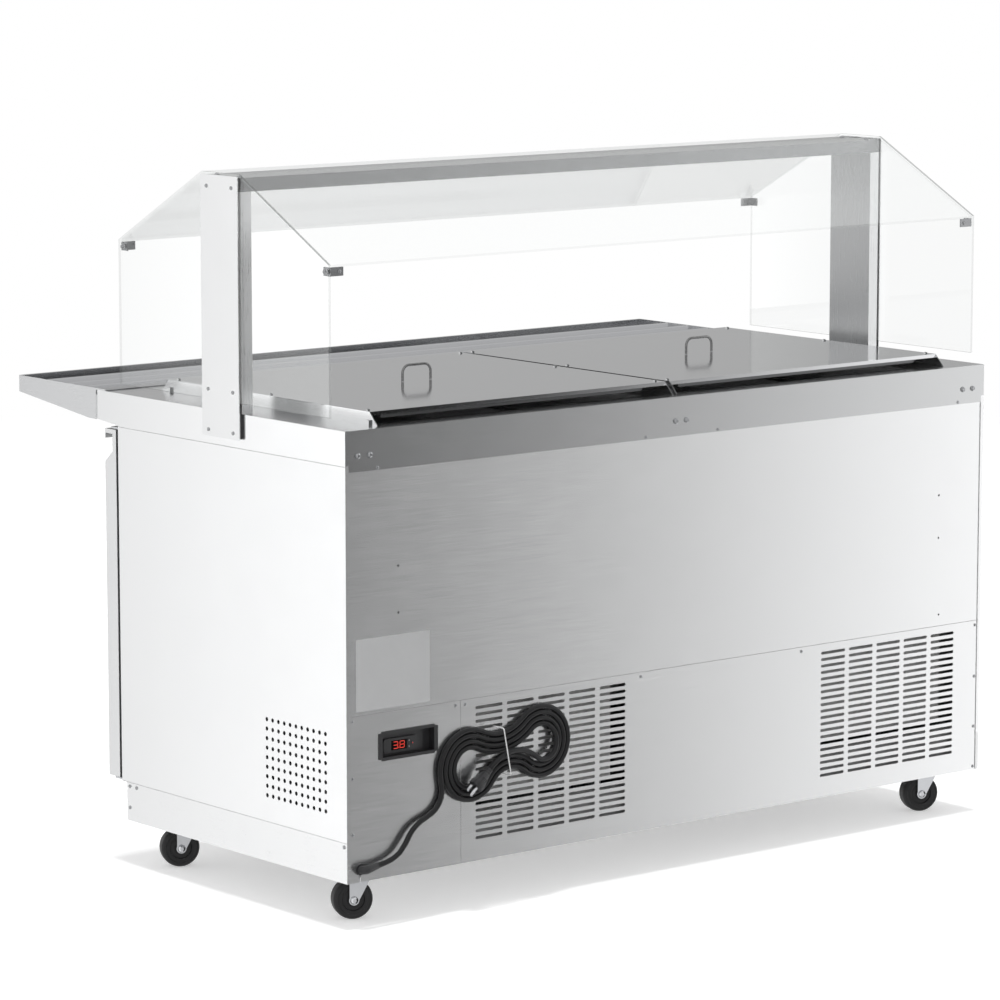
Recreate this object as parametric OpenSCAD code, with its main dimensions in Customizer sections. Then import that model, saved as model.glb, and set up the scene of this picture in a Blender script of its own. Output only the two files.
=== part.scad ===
// Mobile refrigerated salad bar: insulated cabinet on swivel casters, cold well with four pans
// under two lift-off lids, sneeze guard, tray slide, two doors and a condensing unit.
// Origin on the floor under the middle of the bounding box. +X is the end with the vent,
// +Y is the back with the grilles and the cord, -Y is the side of the doors and tray slide.
// Depths "v" are measured forward from the back face of the counter's rim.

/* [Body] */
// Length of the counter rim
body_len = 1500; // [1420:10:1600]
// Depth of the counter rim
rim_depth = 728; // [712:2:760]
// Height of the counter top above the floor
counter_h = 850; // [830:5:890]
// Clear height under the base band
floor_gap = 80; // [76:1:90]
// Height of the base band
band_h = 70; // [64:1:78]
// Height of the rim at the two ends
rim_end_h = 58; // [50:1:62]
// Height of the rim on the back
rim_back_h = 70; // [66:1:80]
// Height of the rim on the front
rim_front_h = 52; // [46:1:54]
// Thickness of the sheet metal
sheet_t = 1.5; // [1.2:0.1:2]
// Width of the end panels' return on the back
return_w = 7; // [5:0.5:10]
// Depth of the cabinet from its back to its front frame
cabinet_d = 665; // [655:1:680]
// Height of the two lower access panels
access_h = 286; // [276:1:292]
// Depth of the machine compartment
machine_d = 275; // [265:1:285]
// Thickness of the foamed walls beside the storage space
wall_t = 43; // [38:1:46]

/* [Well and pans] */
// Clear length of the well
well_len = 1300; // [1290:2:1320]
// Clear width of the well
well_w = 575; // [565:1:585]
// Distance from the back face to the well
well_back = 45; // [44:1:50]
// Depth of the well
well_depth = 200; // [190:1:210]
// Depth of the pans' ledge under the counter top
ledge_drop = 8; // [7:0.5:10]
// Width of the pans' ledge
ledge_w = 30; // [28:1:32]
// Length of a full size pan over its flange
pan_len = 530; // [524:1:536]
// Depth of a pan
pan_depth = 150; // [100:5:160]

/* [Lids] */
// Height of a lid above the counter top
lid_h = 22; // [19:0.5:28]
// Depth of a lid's top sheet
lid_depth = 586; // [580:1:596]
// Distance from the back face to the lids' top sheets
lid_back = 42; // [38:1:46]
// Outer half span of the two lids
lid_reach = 665.5; // [662:0.5:672]
// Lean of the cheeks' ends, from top to bottom
cheek_lean = 20; // [12:1:22]
// Height of the wire handle
handle_h = 32; // [26:1:38]
// Spacing of the handle's legs
handle_w = 63; // [56:1:80]
// Diameter of the handle's wire
handle_d = 5; // [4:0.5:6]

/* [Sneeze guard] */
// Thickness of the glass
glass_t = 5; // [4:0.5:6]
// Width of the posts and of the beam
post_w = 108; // [96:1:116]
// Thickness of a post
post_t = 22; // [18:1:30]
// Height of the beam
beam_h = 24; // [20:1:32]
// Height of the beam's top above the counter top
beam_top = 404; // [380:2:440]
// Height of the glass fold above the counter top
fold_h = 275; // [240:1:290]
// Depth of the end glass
guard_w = 612; // [600:1:624]
// Distance from the back face to the middle of the guard
guard_mid = 343; // [338:1:348]
// Gap under the end glass
glass_gap = 18.5; // [14:0.5:24]
// Drop of the cover plates below the counter top
cover_drop = 45; // [42:0.5:48]

/* [Tray slide] */
// Reach of the tray slide in front of the rim
tray_reach = 253; // [235:1:270]
// Height of the tray slide's front edge
tray_front_h = 30; // [26:1:36]
// Number of raised ribs on the shelf
tray_ribs = 3; // [2:1:4]
// Height of a raised rib
rib_h = 10; // [6:1:12]

/* [Doors] */
// Thickness of a door without its gasket
door_t = 34; // [32:1:38]
// Thickness of the gasket
gasket_t = 8.5; // [7:0.5:10]
// Width of the gasket
gasket_w = 20; // [16:1:24]
// Depth of the finger pull along a door's top edge
pull_d = 23; // [20:1:24]
// Diameter of the hinge pins
pin_d = 8; // [6:0.5:9]

/* [Grilles and vent] */
// Length of a slot
slot_len = 60; // [54:1:64]
// Height of a slot
slot_h = 5.5; // [4.5:0.5:7]
// Distance between the columns of slots
slot_step_x = 70; // [68:1:72]
// Distance between the rows of slots
slot_step_z = 12; // [11.5:0.1:12.2]
// Distance between the end panel's vent holes
vent_step = 16.65; // [15:0.05:17.5]
// Diameter of a vent hole
vent_d = 7.5; // [6:0.5:9]

/* [Casters] */
// Diameter of a wheel
wheel_d = 70; // [62:1:72]
// Width of a wheel
wheel_w = 30; // [26:1:32]
// Trail from the swivel axis to the axle
trail = 14; // [12:1:18]
// Angle of the swivels as stored
swivel_rest = 24; // [0:1:45]

/* [Power cord] */
// Diameter of the power cord
cord_d = 9.5; // [8:0.5:10]

/* [Hidden] */
$fn = 48;

// Colours
STEEL = [0.80, 0.81, 0.82];
DARK_STEEL = [0.62, 0.63, 0.64];
ZINC = [0.70, 0.72, 0.74];
BLACK = [0.09, 0.09, 0.10];
GLASS = [0.85, 0.93, 0.95, 0.30];

// Clearances
touch_gap = 0.3;       // between pieces that move past each other
run_fit = 0.05;        // radial, pins and axles in their bores
key_fit = 0.1;         // radial, keys in the bezel

// Main levels and faces
bolt_head_h = 3.2;
rim_back = (rim_depth + tray_reach - bolt_head_h) / 2;
half = body_len / 2;
inner_half = half - sheet_t;
band_top = floor_gap + band_h;
access_top = floor_gap + access_h;
rim_end_bottom = counter_h - rim_end_h;
rim_back_bottom = counter_h - rim_back_h;
under_top = counter_h - sheet_t;
well_front = well_back + well_w;
panel_out = sheet_t;                    // the back panels sit one sheet inside the rim's face
panel_in = 2 * sheet_t;
pan_floor = floor_gap + 20;             // underside of the base pan

// Storage space inside the insulated body
store_half = inner_half - wall_t;
store_floor = band_top + 32;
store_top = counter_h - well_depth - 38;
step_top = access_top + 36;
mullion_w = 50;
mullion_d = 40;

// A box from X, depth and height limits
module vbox(x0, x1, v0, v1, z0, z1)
    translate([x0, rim_back - v1, z0])
        cube([x1 - x0, v1 - v0, z1 - z0]);

// A profile drawn in (depth, height), drawn out along X
module along_x(x0, x1)
    translate([x0, rim_back, 0])
        rotate([90, 0, 90])
            linear_extrude(x1 - x0)
                mirror([1, 0])
                    children();

// A profile drawn in (X, height), drawn out from depth v0 to v1
module along_v(v0, v1)
    translate([0, rim_back - v0, 0])
        rotate([90, 0, 0])
            linear_extrude(v1 - v0)
                children();

module both_ends() {
    children();
    mirror([1, 0, 0])
        children();
}

module rect(x0, x1, z0, z1)
    translate([x0, z0])
        square([x1 - x0, z1 - z0]);

module round_rect(w, h, r) {
    square([w - 2 * r, h], center = true);
    square([w, h - 2 * r], center = true);
    for (sx = [-1, 1], sz = [-1, 1])
        translate([sx * (w / 2 - r), sz * (h / 2 - r)])
            circle(r);
}

// Domed head, standing on its seat and pointing along +Z
module dome_head(r, h)
    rotate_extrude()
        polygon([[0, 0], [r, 0], [r, h * 0.35], [r * 0.85, h * 0.75], [r * 0.45, h], [0, h]]);

// ------------------------------------------------------------------ counter and casing

module top_surround() {
    color(STEEL) {
        along_v(0, sheet_t) {
            rect(-half, half, rim_end_bottom, counter_h);
            rect(-half + return_w, half - return_w, rim_back_bottom, counter_h);
        }
        difference() {
            vbox(-half, half, 0, rim_depth, under_top, counter_h);
            vbox(-well_len / 2, well_len / 2, well_back, well_front, under_top - 1, counter_h + 1);
        }
        both_ends()
            along_x(inner_half, half)
                polygon([[0, rim_end_bottom], [cabinet_d, rim_end_bottom],
                    [rim_depth, counter_h - rim_front_h], [rim_depth, counter_h], [0, counter_h]]);
        along_v(rim_depth - sheet_t, rim_depth)
            rect(-half, half, counter_h - rim_front_h, counter_h);
        vbox(-inner_half, inner_half, cabinet_d, rim_depth - sheet_t,
            counter_h - rim_front_h, counter_h - rim_front_h + sheet_t);
    }
}

vent_cols = 11;
vent_rows = 9;
vent_mid_v = 142;
vent_mid_z = floor_gap + 183;

module end_panel(vented) {
    color(STEEL)
        difference() {
            union() {
                vbox(inner_half, half, 0, cabinet_d, band_top, rim_end_bottom);
                vbox(half - return_w, half, 0, sheet_t, band_top, rim_end_bottom);
            }
            if (vented)
                for (i = [0 : vent_cols - 1], j = [0 : vent_rows - 1])
                    translate([inner_half - 1,
                        rim_back - vent_mid_v + (i - (vent_cols - 1) / 2) * vent_step,
                        vent_mid_z + (j - (vent_rows - 1) / 2) * vent_step])
                        rotate([0, 90, 0])
                            cylinder(d = vent_d, h = sheet_t + 2, $fn = 16);
        }
}

module back_panel()
    color(STEEL)
        along_v(panel_out, panel_in)
            rect(-half + return_w, half - return_w, access_top + touch_gap, rim_back_bottom);

// The access panels meet at this X
panel_seam = half - 246.5;
grommet_x = half - 27.5;
grommet_z = floor_gap + 22;
grommet_bore = 14;
recess_x = half - 132.4;
recess_z = floor_gap + 227.3;
recess_w = 111;
recess_h = 39.6;

module controller_panel()
    color(STEEL)
        along_v(panel_out, panel_in)
            difference() {
                rect(panel_seam, half - return_w, floor_gap, access_top);
                translate([recess_x, recess_z])
                    square([recess_w + 4, recess_h + 4], center = true);
                translate([grommet_x, grommet_z])
                    circle(d = grommet_bore);
                rect(grommet_x - 2, grommet_x + 2, floor_gap - 1, grommet_z);
            }

// Grilles: columns and rows of slots with round ends
slot_cols = 5;
slot_rows = 20;
grille_left_x = half - 449;
grille_right_x = -half + 238.5;
slot_top_z = floor_gap + 268.6;
function slot_x(i) = grille_left_x + (2 - i) * slot_step_x;
function slot_z(j) = slot_top_z - j * slot_step_z;

module slot() {
    square([slot_len - slot_h, slot_h], center = true);
    for (s = [-1, 1])
        translate([s * (slot_len - slot_h) / 2, 0])
            circle(d = slot_h, $fn = 16);
}

module grille(mid_x)
    for (i = [0 : slot_cols - 1], j = [0 : slot_rows - 1])
        translate([mid_x + (i - (slot_cols - 1) / 2) * slot_step_x, slot_z(j)])
            slot();

module grille_panel()
    color(STEEL)
        along_v(panel_out, panel_in)
            difference() {
                rect(-half + return_w, panel_seam - touch_gap, floor_gap, access_top);
                grille(grille_left_x);
                grille(grille_right_x);
            }

// Base: end bands with flanges, a rear sill and the pan that carries the machine and casters
kick_v = 650;
kick_return = 19;
kick_flange = 30;
sill_v = 14;
sill_top = band_top + 12;

module base_frame()
    color(ZINC) {
        both_ends() {
            vbox(inner_half, half, 0, kick_v - kick_return, floor_gap, band_top);
            vbox(inner_half - 28, inner_half, machine_d, kick_v - kick_flange,
                band_top - sheet_t, band_top);
            vbox(half - return_w, half, 0, sheet_t, floor_gap, band_top);
        }
        along_x(-inner_half, inner_half)
            polygon([[sill_v, floor_gap + 4], [sill_v + sheet_t, floor_gap + 4],
                [sill_v + sheet_t, sill_top - sheet_t], [sill_v + 30, sill_top - sheet_t],
                [sill_v + 30, sill_top], [sill_v, sill_top]]);
        vbox(-inner_half, inner_half, sill_v + sheet_t, kick_v - sheet_t,
            pan_floor, pan_floor + sheet_t);
        along_x(-inner_half, inner_half)
            polygon([[machine_d - sheet_t, pan_floor], [machine_d, pan_floor],
                [machine_d, band_top], [machine_d - sheet_t, band_top]]);
    }

module kick_plate()
    color(STEEL) {
        vbox(-half, half, kick_v - sheet_t, kick_v, floor_gap, band_top);
        vbox(-inner_half, inner_half, kick_v - kick_flange, kick_v - sheet_t,
            band_top - sheet_t, band_top);
        both_ends()
            vbox(inner_half, half, kick_v - kick_return, kick_v, floor_gap, band_top);
    }

module insulated_body()
    color([0.86, 0.87, 0.88])
        difference() {
            along_x(-inner_half, inner_half)
                polygon([[panel_in, access_top + 6], [machine_d, access_top + 6],
                    [machine_d, band_top], [cabinet_d - sheet_t, band_top],
                    [cabinet_d - sheet_t, under_top], [panel_in, under_top]]);
            vbox(-well_len / 2 - sheet_t, well_len / 2 + sheet_t, well_back - sheet_t,
                well_front + sheet_t, counter_h - well_depth - sheet_t, counter_h);
            difference() {
                along_x(-store_half, store_half)
                    polygon([[wall_t, step_top], [machine_d + 30, step_top],
                        [machine_d + 30, store_floor], [cabinet_d, store_floor],
                        [cabinet_d, store_top], [wall_t, store_top]]);
                vbox(-mullion_w / 2, mullion_w / 2, cabinet_d - mullion_d, cabinet_d + 1,
                    store_floor - 1, store_top + 1);
            }
        }

module front_frame()
    color(STEEL)
        along_v(cabinet_d - sheet_t, cabinet_d)
            difference() {
                rect(-inner_half, inner_half, band_top, rim_end_bottom);
                for (s = [-1, 1])
                    translate([s * (store_half + mullion_w / 2) / 2, (store_floor + store_top) / 2])
                        square([store_half - mullion_w / 2, store_top - store_floor], center = true);
            }

module well_liner()
    color(STEEL) {
        difference() {
            vbox(-well_len / 2 - sheet_t, well_len / 2 + sheet_t, well_back - sheet_t,
                well_front + sheet_t, counter_h - well_depth - sheet_t, under_top);
            vbox(-well_len / 2, well_len / 2, well_back, well_front,
                counter_h - well_depth, counter_h);
        }
        for (v = [well_back, well_front - ledge_w])
            vbox(-well_len / 2, well_len / 2, v, v + ledge_w, ledge_z - sheet_t, ledge_z);
    }

ledge_z = counter_h - ledge_drop;
bar_w = 24;

module center_bar()
    color(STEEL) {
        along_x(-bar_w / 2, bar_w / 2)
            polygon([[well_back + 1, ledge_z], [well_back + 19, ledge_z],
                [well_back + 19, ledge_z + 3], [well_front - 19, ledge_z + 3],
                [well_front - 19, ledge_z], [well_front - 1, ledge_z],
                [well_front - 1, counter_h], [well_back + 1, counter_h]]);
    }

// Full size pans: flange on the ledges, tapered body with round corners
pan_pitch = well_len / 4;
pan_flange_w = pan_pitch - 1;
pan_mid_v = (well_back + well_front) / 2;
pan_body_w = pan_pitch - 20;
pan_body_l = well_w - 2 * ledge_w - 8;
pan_taper = 0.94;

module pan_shape(inset, depth)
    mirror([0, 0, 1])
        linear_extrude(depth, scale = pan_taper)
            round_rect(pan_body_w - 2 * inset, pan_body_l - 2 * inset, 30, $fn = 24);

module food_pans()
    color(STEEL)
        for (k = [-1.5 : 1 : 1.5])
            translate([k * pan_pitch, rim_back - pan_mid_v, ledge_z])
                difference() {
                    union() {
                        pan_shape(0, pan_depth);
                        linear_extrude(sheet_t)
                            square([pan_flange_w, pan_len], center = true);
                    }
                    translate([0, 0, 0.01])
                        pan_shape(sheet_t, pan_depth - sheet_t);
                    translate([0, 0, -0.5])
                        linear_extrude(sheet_t + 1)
                            round_rect(pan_body_w - 2 * sheet_t, pan_body_l - 2 * sheet_t, 28);
                }

// Two wire shelves, on the step over the machine compartment and on clips at the front
shelf_z = step_top;
shelf_wires = 24;
shelf_back = wall_t + 30;
shelf_front = cabinet_d - 34;
shelf_rail = 6;
clip_w = 12;

module wire_shelf(x0, x1)
    color([0.88, 0.88, 0.86]) {
        for (v = [shelf_back, (shelf_back + shelf_front) / 2, shelf_front - shelf_rail])
            vbox(x0, x1, v, v + shelf_rail, shelf_z, shelf_z + shelf_rail);
        for (x = [x0, x1 - shelf_rail])
            vbox(x, x + shelf_rail, shelf_back, shelf_front, shelf_z, shelf_z + shelf_rail);
        for (i = [1 : shelf_wires - 1])
            vbox(x0 + i * (x1 - x0) / shelf_wires - 1.5, x0 + i * (x1 - x0) / shelf_wires + 1.5,
                shelf_back, shelf_front, shelf_z + 3, shelf_z + 7);
        for (x = [x0 - touch_gap, x1 + touch_gap - clip_w])
            vbox(x, x + clip_w, shelf_front - 2, shelf_front + 10, shelf_z - 8, shelf_z);
    }

module wire_shelves()
    both_ends()
        wire_shelf(mullion_w / 2 + touch_gap, store_half - touch_gap);

// ------------------------------------------------------------------ lids

lid_top = counter_h + lid_h;
lid_under = lid_top - sheet_t;
lid_seam = 4.5;
lid_front = lid_back + lid_depth;
lid_mid_v = (lid_back + lid_front) / 2;
lid_mid_x = (lid_reach + lid_seam) / 2;
cheek_flange = 18;
handle_bend = 14;
stud_inset = 10;

module wire_handle() {
    leg = handle_w / 2;
    rise = handle_h - handle_d / 2;
    for (s = [-1, 1]) {
        translate([s * leg, 0, 0])
            cylinder(d = handle_d, h = rise - handle_bend, $fn = 24);
        translate([s * (leg - handle_bend), 0, rise - handle_bend])
            rotate([90, 0, 0])
                rotate([0, 0, s > 0 ? 0 : 90])
                    rotate_extrude(angle = 90, $fn = 48)
                        translate([handle_bend, 0])
                            circle(d = handle_d, $fn = 24);
    }
    translate([-leg + handle_bend, 0, rise])
        rotate([0, 90, 0])
            cylinder(d = handle_d, h = handle_w - 2 * handle_bend, $fn = 24);
}

module lid_top_sheet()
    color(DARK_STEEL) {
        vbox(lid_seam, lid_reach, lid_back, lid_front, lid_under, lid_top);
        for (v = [lid_back, lid_front - sheet_t])
            vbox(lid_seam + sheet_t + touch_gap, lid_reach - sheet_t - touch_gap,
                v, v + sheet_t, lid_under - 5, lid_under);
        translate([lid_mid_x, rim_back - lid_mid_v, lid_top - 0.5])
            wire_handle();
    }

module lid_cheek(x0)
    along_x(x0, x0 + sheet_t)
        polygon([[lid_back - cheek_lean, counter_h], [lid_front + cheek_lean, counter_h],
            [lid_front, lid_under], [lid_back, lid_under]]);

// Stepped tray under a lid's top sheet, in (depth, height), drawn in by a wall
liner_inset = 38;

module lid_liner_profile(wall) {
    step_z = lid_under - lid_h * 0.3 + wall;
    low_z = lid_under - lid_h * 0.62 + wall;
    b = lid_back + 8 + wall;
    f = lid_front - 8 - wall;
    polygon([[b, lid_under + wall], [b, step_z], [b + 12, step_z], [b + 12, low_z],
        [f - 12, low_z], [f - 12, step_z], [f, step_z], [f, lid_under + wall]]);
}

module lid_frame() {
    color(STEEL) {
        lid_cheek(lid_seam);
        lid_cheek(lid_reach - sheet_t);
        vbox(lid_seam + sheet_t, lid_seam + cheek_flange, lid_back + 4, lid_front - 4,
            lid_under - sheet_t, lid_under);
        vbox(lid_reach - cheek_flange, lid_reach - sheet_t, lid_back + 4, lid_front - 4,
            lid_under - sheet_t, lid_under);
        difference() {
            along_x(lid_seam + liner_inset, lid_reach - liner_inset)
                lid_liner_profile(0);
            along_x(lid_seam + liner_inset + sheet_t, lid_reach - liner_inset - sheet_t)
                lid_liner_profile(sheet_t);
        }
        for (x = [lid_seam + cheek_flange - 1, lid_reach - liner_inset - sheet_t],
            v = [lid_mid_v - lid_depth * 0.4, lid_mid_v, lid_mid_v + lid_depth * 0.4])
            vbox(x, x + liner_inset - cheek_flange + 1 + sheet_t, v - 15, v + 15,
                lid_under - sheet_t, lid_under);
        for (x = [lid_seam + stud_inset, lid_reach - stud_inset], k = [-1, 0, 1])
            translate([x, rim_back - lid_mid_v - k * (lid_depth / 2 - 18), lid_top])
                dome_head(3.5, 2.6);
    }
    color(BLACK)
        for (v = [lid_back - 2, lid_front - 10])
            vbox(lid_reach, lid_reach + 4, v, v + 12, counter_h, counter_h + 8);
}

// ------------------------------------------------------------------ sneeze guard

post_back = guard_mid - post_w / 2;
post_front = guard_mid + post_w / 2;
beam_z1 = counter_h + beam_top;
beam_z0 = beam_z1 - beam_h;
tube_t = 2;
cover_t = 2;
cover_out = half + glass_t + cover_t;
glass_low = counter_h + glass_gap;
fold_z = counter_h + fold_h;
guard_back = guard_mid - guard_w / 2;
guard_front = guard_mid + guard_w / 2;

module posts()
    color(STEEL)
        both_ends()
            difference() {
                vbox(half - post_t, half, post_back, post_front, counter_h, beam_z0);
                vbox(half - post_t + tube_t, half - tube_t, post_back + tube_t, post_front - tube_t,
                    counter_h + 3, beam_z0 + 1);
            }

module guard_beam()
    color(STEEL)
        difference() {
            vbox(-half, half, post_back, post_front, beam_z0, beam_z1);
            vbox(-half - 1, half + 1, post_back + tube_t, post_front - tube_t,
                beam_z0 + tube_t, beam_z1 - tube_t);
        }

module post_covers()
    color(STEEL)
        both_ends()
            translate([half + glass_t, rim_back - guard_mid,
                (counter_h - cover_drop + beam_z1 + 2) / 2])
                rotate([90, 0, 90])
                    linear_extrude(cover_t)
                        round_rect(post_w, beam_top + cover_drop + 2, 3);

module glass_spacers()
    color(BLACK)
        both_ends()
            vbox(half, half + glass_t, post_back + 2, post_front - 2,
                counter_h - cover_drop + 2, glass_low - 1);

// Slope of a pane: its inner face passes just above the beam's top corner
pane_run = post_back - guard_back;
pane_top_in = beam_z1 + touch_gap;
// Outer face height over the beam's corner, found from the fold height by the pane's own tilt
pane_tilt = atan((pane_top_in - fold_z) / pane_run) + asin(glass_t / norm([pane_run, pane_top_in - fold_z]));
pane_top_out = fold_z + pane_run * tan(pane_tilt);

module end_glass()
    color(GLASS)
        both_ends()
            along_x(half, half + glass_t)
                polygon([[guard_back, glass_low], [guard_front, glass_low], [guard_front, fold_z],
                    [post_front, pane_top_out], [post_back, pane_top_out], [guard_back, fold_z]]);

// A pane in (depth, height), on the back side; the front one mirrors it
module pane_profile() {
    drop = glass_t / cos(pane_tilt);
    lip = glass_t * sin(pane_tilt);
    polygon([[guard_back, fold_z], [guard_back + lip, fold_z + lip * tan(pane_tilt) - drop],
        [post_back, pane_top_out - drop], [post_back, pane_top_out]]);
}

module slope_glass_back()
    color(GLASS)
        along_x(-half + touch_gap, half - touch_gap)
            pane_profile();

module slope_glass_front()
    color(GLASS)
        along_x(-half + touch_gap, half - touch_gap)
            translate([2 * guard_mid, 0])
                mirror([1, 0])
                    pane_profile();

// Corner clips: one leg on the end glass, one under the sloped pane
clip_leg = 28;
clip_h = 15;
clip_t = 2.5;

module glass_clip()
    color(DARK_STEEL) {
        z1 = fold_z - glass_t / cos(pane_tilt) + 1;
        vbox(half - clip_t, half, guard_back + 2, guard_back + 20, z1 - clip_h, z1);
        vbox(half - clip_leg, half, guard_back + 2, guard_back + 2 + clip_t, z1 - clip_h, z1);
        translate([half - clip_leg + 8, rim_back - guard_back - 2, z1 - clip_h / 2])
            rotate([-90, 0, 0])
                dome_head(3.2, 1.6);
        translate([half + glass_t, rim_back - guard_back - 11, z1 - clip_h / 2])
            rotate([0, 90, 0])
                dome_head(3.4, 1.8);
    }

module glass_clips()
    both_ends() {
        glass_clip();
        translate([0, 2 * (rim_back - guard_mid), 0])
            mirror([0, 1, 0])
                glass_clip();
    }

// ------------------------------------------------------------------ tray slide

tray_front = rim_depth + tray_reach;
tray_top = counter_h + 3;
tray_floor = counter_h - 9;
tray_lap = 25;
rib_w = 26;
rib_pitch = (tray_reach - 40) / (tray_ribs + 0.5);
first_rib = rim_depth + 45;
shelf_back_v = rim_depth + 2;
lip_w = 8;
hem_w = 20;
tray_bottom = tray_top - tray_front_h;

// Upper and lower side of a raised rib in (depth, height), from the back to the front
function rib_upper(v) = [[v - rib_w / 2, tray_floor + sheet_t],
    [v - rib_w / 4, tray_floor + sheet_t + rib_h * 0.85], [v - rib_w / 9, tray_floor + sheet_t + rib_h],
    [v + rib_w / 9, tray_floor + sheet_t + rib_h], [v + rib_w / 4, tray_floor + sheet_t + rib_h * 0.85],
    [v + rib_w / 2, tray_floor + sheet_t]];
function rib_lower(v) = [[v + rib_w / 2 - 2, tray_floor], [v + rib_w / 4 - 1, tray_floor + rib_h * 0.85],
    [v - rib_w / 4 + 1, tray_floor + rib_h * 0.85], [v - rib_w / 2 + 2, tray_floor]];

// One folded sheet: lap on the counter, drop, ribbed floor, front lip and hem
module tray_shelf()
    color(STEEL)
        along_x(-inner_half, inner_half)
            polygon(concat(
                [[rim_depth - tray_lap, counter_h], [rim_depth - tray_lap, counter_h + sheet_t],
                    [shelf_back_v + sheet_t, counter_h + sheet_t],
                    [shelf_back_v + sheet_t, tray_floor + sheet_t]],
                [for (i = [0 : tray_ribs - 1]) each rib_upper(first_rib + i * rib_pitch)],
                [[tray_front - sheet_t, tray_floor + sheet_t], [tray_front - sheet_t, tray_top - sheet_t],
                    [tray_front - lip_w, tray_top - sheet_t], [tray_front - lip_w, tray_top],
                    [tray_front, tray_top], [tray_front, tray_bottom], [tray_front - hem_w, tray_bottom],
                    [tray_front - hem_w, tray_bottom + sheet_t],
                    [tray_front - sheet_t, tray_bottom + sheet_t], [tray_front - sheet_t, tray_floor]],
                [for (i = [tray_ribs - 1 : -1 : 0]) each rib_lower(first_rib + i * rib_pitch)],
                [[shelf_back_v, tray_floor], [shelf_back_v, counter_h]]));

// Supports: an end plate and an inner one at each end, each with a flange on the rim's front
bracket_back = rim_depth + 5;
flange_front = rim_depth + 9;
bracket_low = counter_h - rim_front_h - 1;
inner_bracket_x = 250;

module bracket_profile(front, top)
    polygon([[bracket_back, top], [front, top], [front, tray_bottom],
        [rim_depth + 27, bracket_low], [bracket_back, bracket_low]]);

module tray_brackets()
    color(STEEL)
        both_ends() {
            along_x(inner_half, half)
                bracket_profile(tray_front, tray_top);
            vbox(inner_half - 22, half - 0.5, rim_depth, flange_front,
                counter_h - rim_front_h, tray_floor);
            vbox(inner_half, half, rim_depth - tray_lap, flange_front, counter_h, tray_top);
            along_x(inner_bracket_x, inner_bracket_x + 3)
                bracket_profile(tray_front - hem_w - 2, tray_floor);
            vbox(inner_bracket_x, inner_bracket_x + 30, rim_depth, flange_front,
                counter_h - rim_front_h, tray_floor);
        }

// ------------------------------------------------------------------ doors

door_gap = 3;                             // between the two doors
door_end = inner_half;
door_in = cabinet_d + gasket_t + touch_gap;
door_out = door_in + door_t;
door_z0 = band_top + 4;
door_z1 = rim_end_bottom - 9;
hinge_inset = 12;                         // from the door's end to the hinge axis
hinge_x = door_end - hinge_inset;
hinge_v = door_in + 6;
pin_len = 14;
bracket_t = 3;

// Section of a door, with the finger pull along its top edge
module door_profile()
    polygon([[door_in, door_z0], [door_out, door_z0], [door_out, door_z1 - 59],
        [door_out - pull_d, door_z1 - 39], [door_out - pull_d, door_z1 - 8],
        [door_out - 1.6, door_z1 - 8], [door_out - 1.6, door_z1 - 17],
        [door_out, door_z1 - 17], [door_out, door_z1], [door_in, door_z1]]);

// The hollow inside a door's folded skin, open on the side of the liner
module door_hollow() {
    out = door_out - sheet_t;
    pull = out - pull_d;
    polygon([[door_in - 1, door_z0 + sheet_t], [out, door_z0 + sheet_t], [out, door_z1 - 59],
        [pull, door_z1 - 39], [pull, door_z1 - sheet_t], [door_in - 1, door_z1 - sheet_t]]);
}

hinge_block = 24;

module door_panel()
    color(STEEL)
        difference() {
            union() {
                difference() {
                    along_x(door_gap / 2, door_end)
                        door_profile();
                    along_x(door_gap / 2 + sheet_t, door_end - sheet_t)
                        door_hollow();
                }
                for (z = [door_z0 + sheet_t / 2, door_z1 - hinge_block - sheet_t / 2])
                    vbox(door_end - hinge_block, door_end - sheet_t / 2,
                        door_in + sheet_t, door_out - pull_d - sheet_t / 2, z, z + hinge_block);
            }
            for (z = [door_z0 - 1, door_z1 - pin_len])
                translate([hinge_x, rim_back - hinge_v, z])
                    cylinder(d = pin_d + 2 * run_fit, h = pin_len + 1);
        }

module door_liner()
    color(STEEL)
        vbox(door_gap / 2 + sheet_t, door_end - sheet_t, door_in, door_in + sheet_t,
            door_z0 + sheet_t, door_z1 - sheet_t);

module door_gasket()
    color([0.30, 0.31, 0.32])
        along_v(cabinet_d + touch_gap, door_in)
            difference() {
                rect(door_gap / 2 + 6, door_end - hinge_inset - 8, door_z0 + 6, door_z1 - 6);
                rect(door_gap / 2 + 6 + gasket_w, door_end - hinge_inset - 8 - gasket_w,
                    door_z0 + 6 + gasket_w, door_z1 - 6 - gasket_w);
            }

module door_hinges()
    color(ZINC)
        both_ends() {
            vbox(hinge_x - 14, hinge_x + 11, cabinet_d, hinge_v + 10,
                door_z1 + 2, door_z1 + 2 + bracket_t);
            translate([hinge_x, rim_back - hinge_v, door_z1 - pin_len + 1])
                cylinder(d = pin_d, h = pin_len + 1);
            vbox(hinge_x - 14, hinge_x + 11, cabinet_d, hinge_v + 10,
                door_z0 - 0.7 - bracket_t, door_z0 - 0.7);
            translate([hinge_x, rim_back - hinge_v, door_z0 - 0.7])
                cylinder(d = pin_d, h = pin_len - 1);
        }

// ------------------------------------------------------------------ casters

caster_x = half - 75;
caster_back = 64;
caster_front = 572;
axle_d = 8;
king_d = 10;
leg_t = 2.5;
leg_gap = 1.5;                            // from the wheel's side to a leg
crown_z0 = pan_floor - 13;
crown_z1 = pan_floor - 8.3;
leg_in = wheel_w / 2 + leg_gap;

module at_caster(k)
    translate([k < 2 ? caster_x : -caster_x,
        rim_back - (k % 2 == 0 ? caster_back : caster_front), 0])
        rotate([0, 0, -swivel_rest])
            children();

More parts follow.
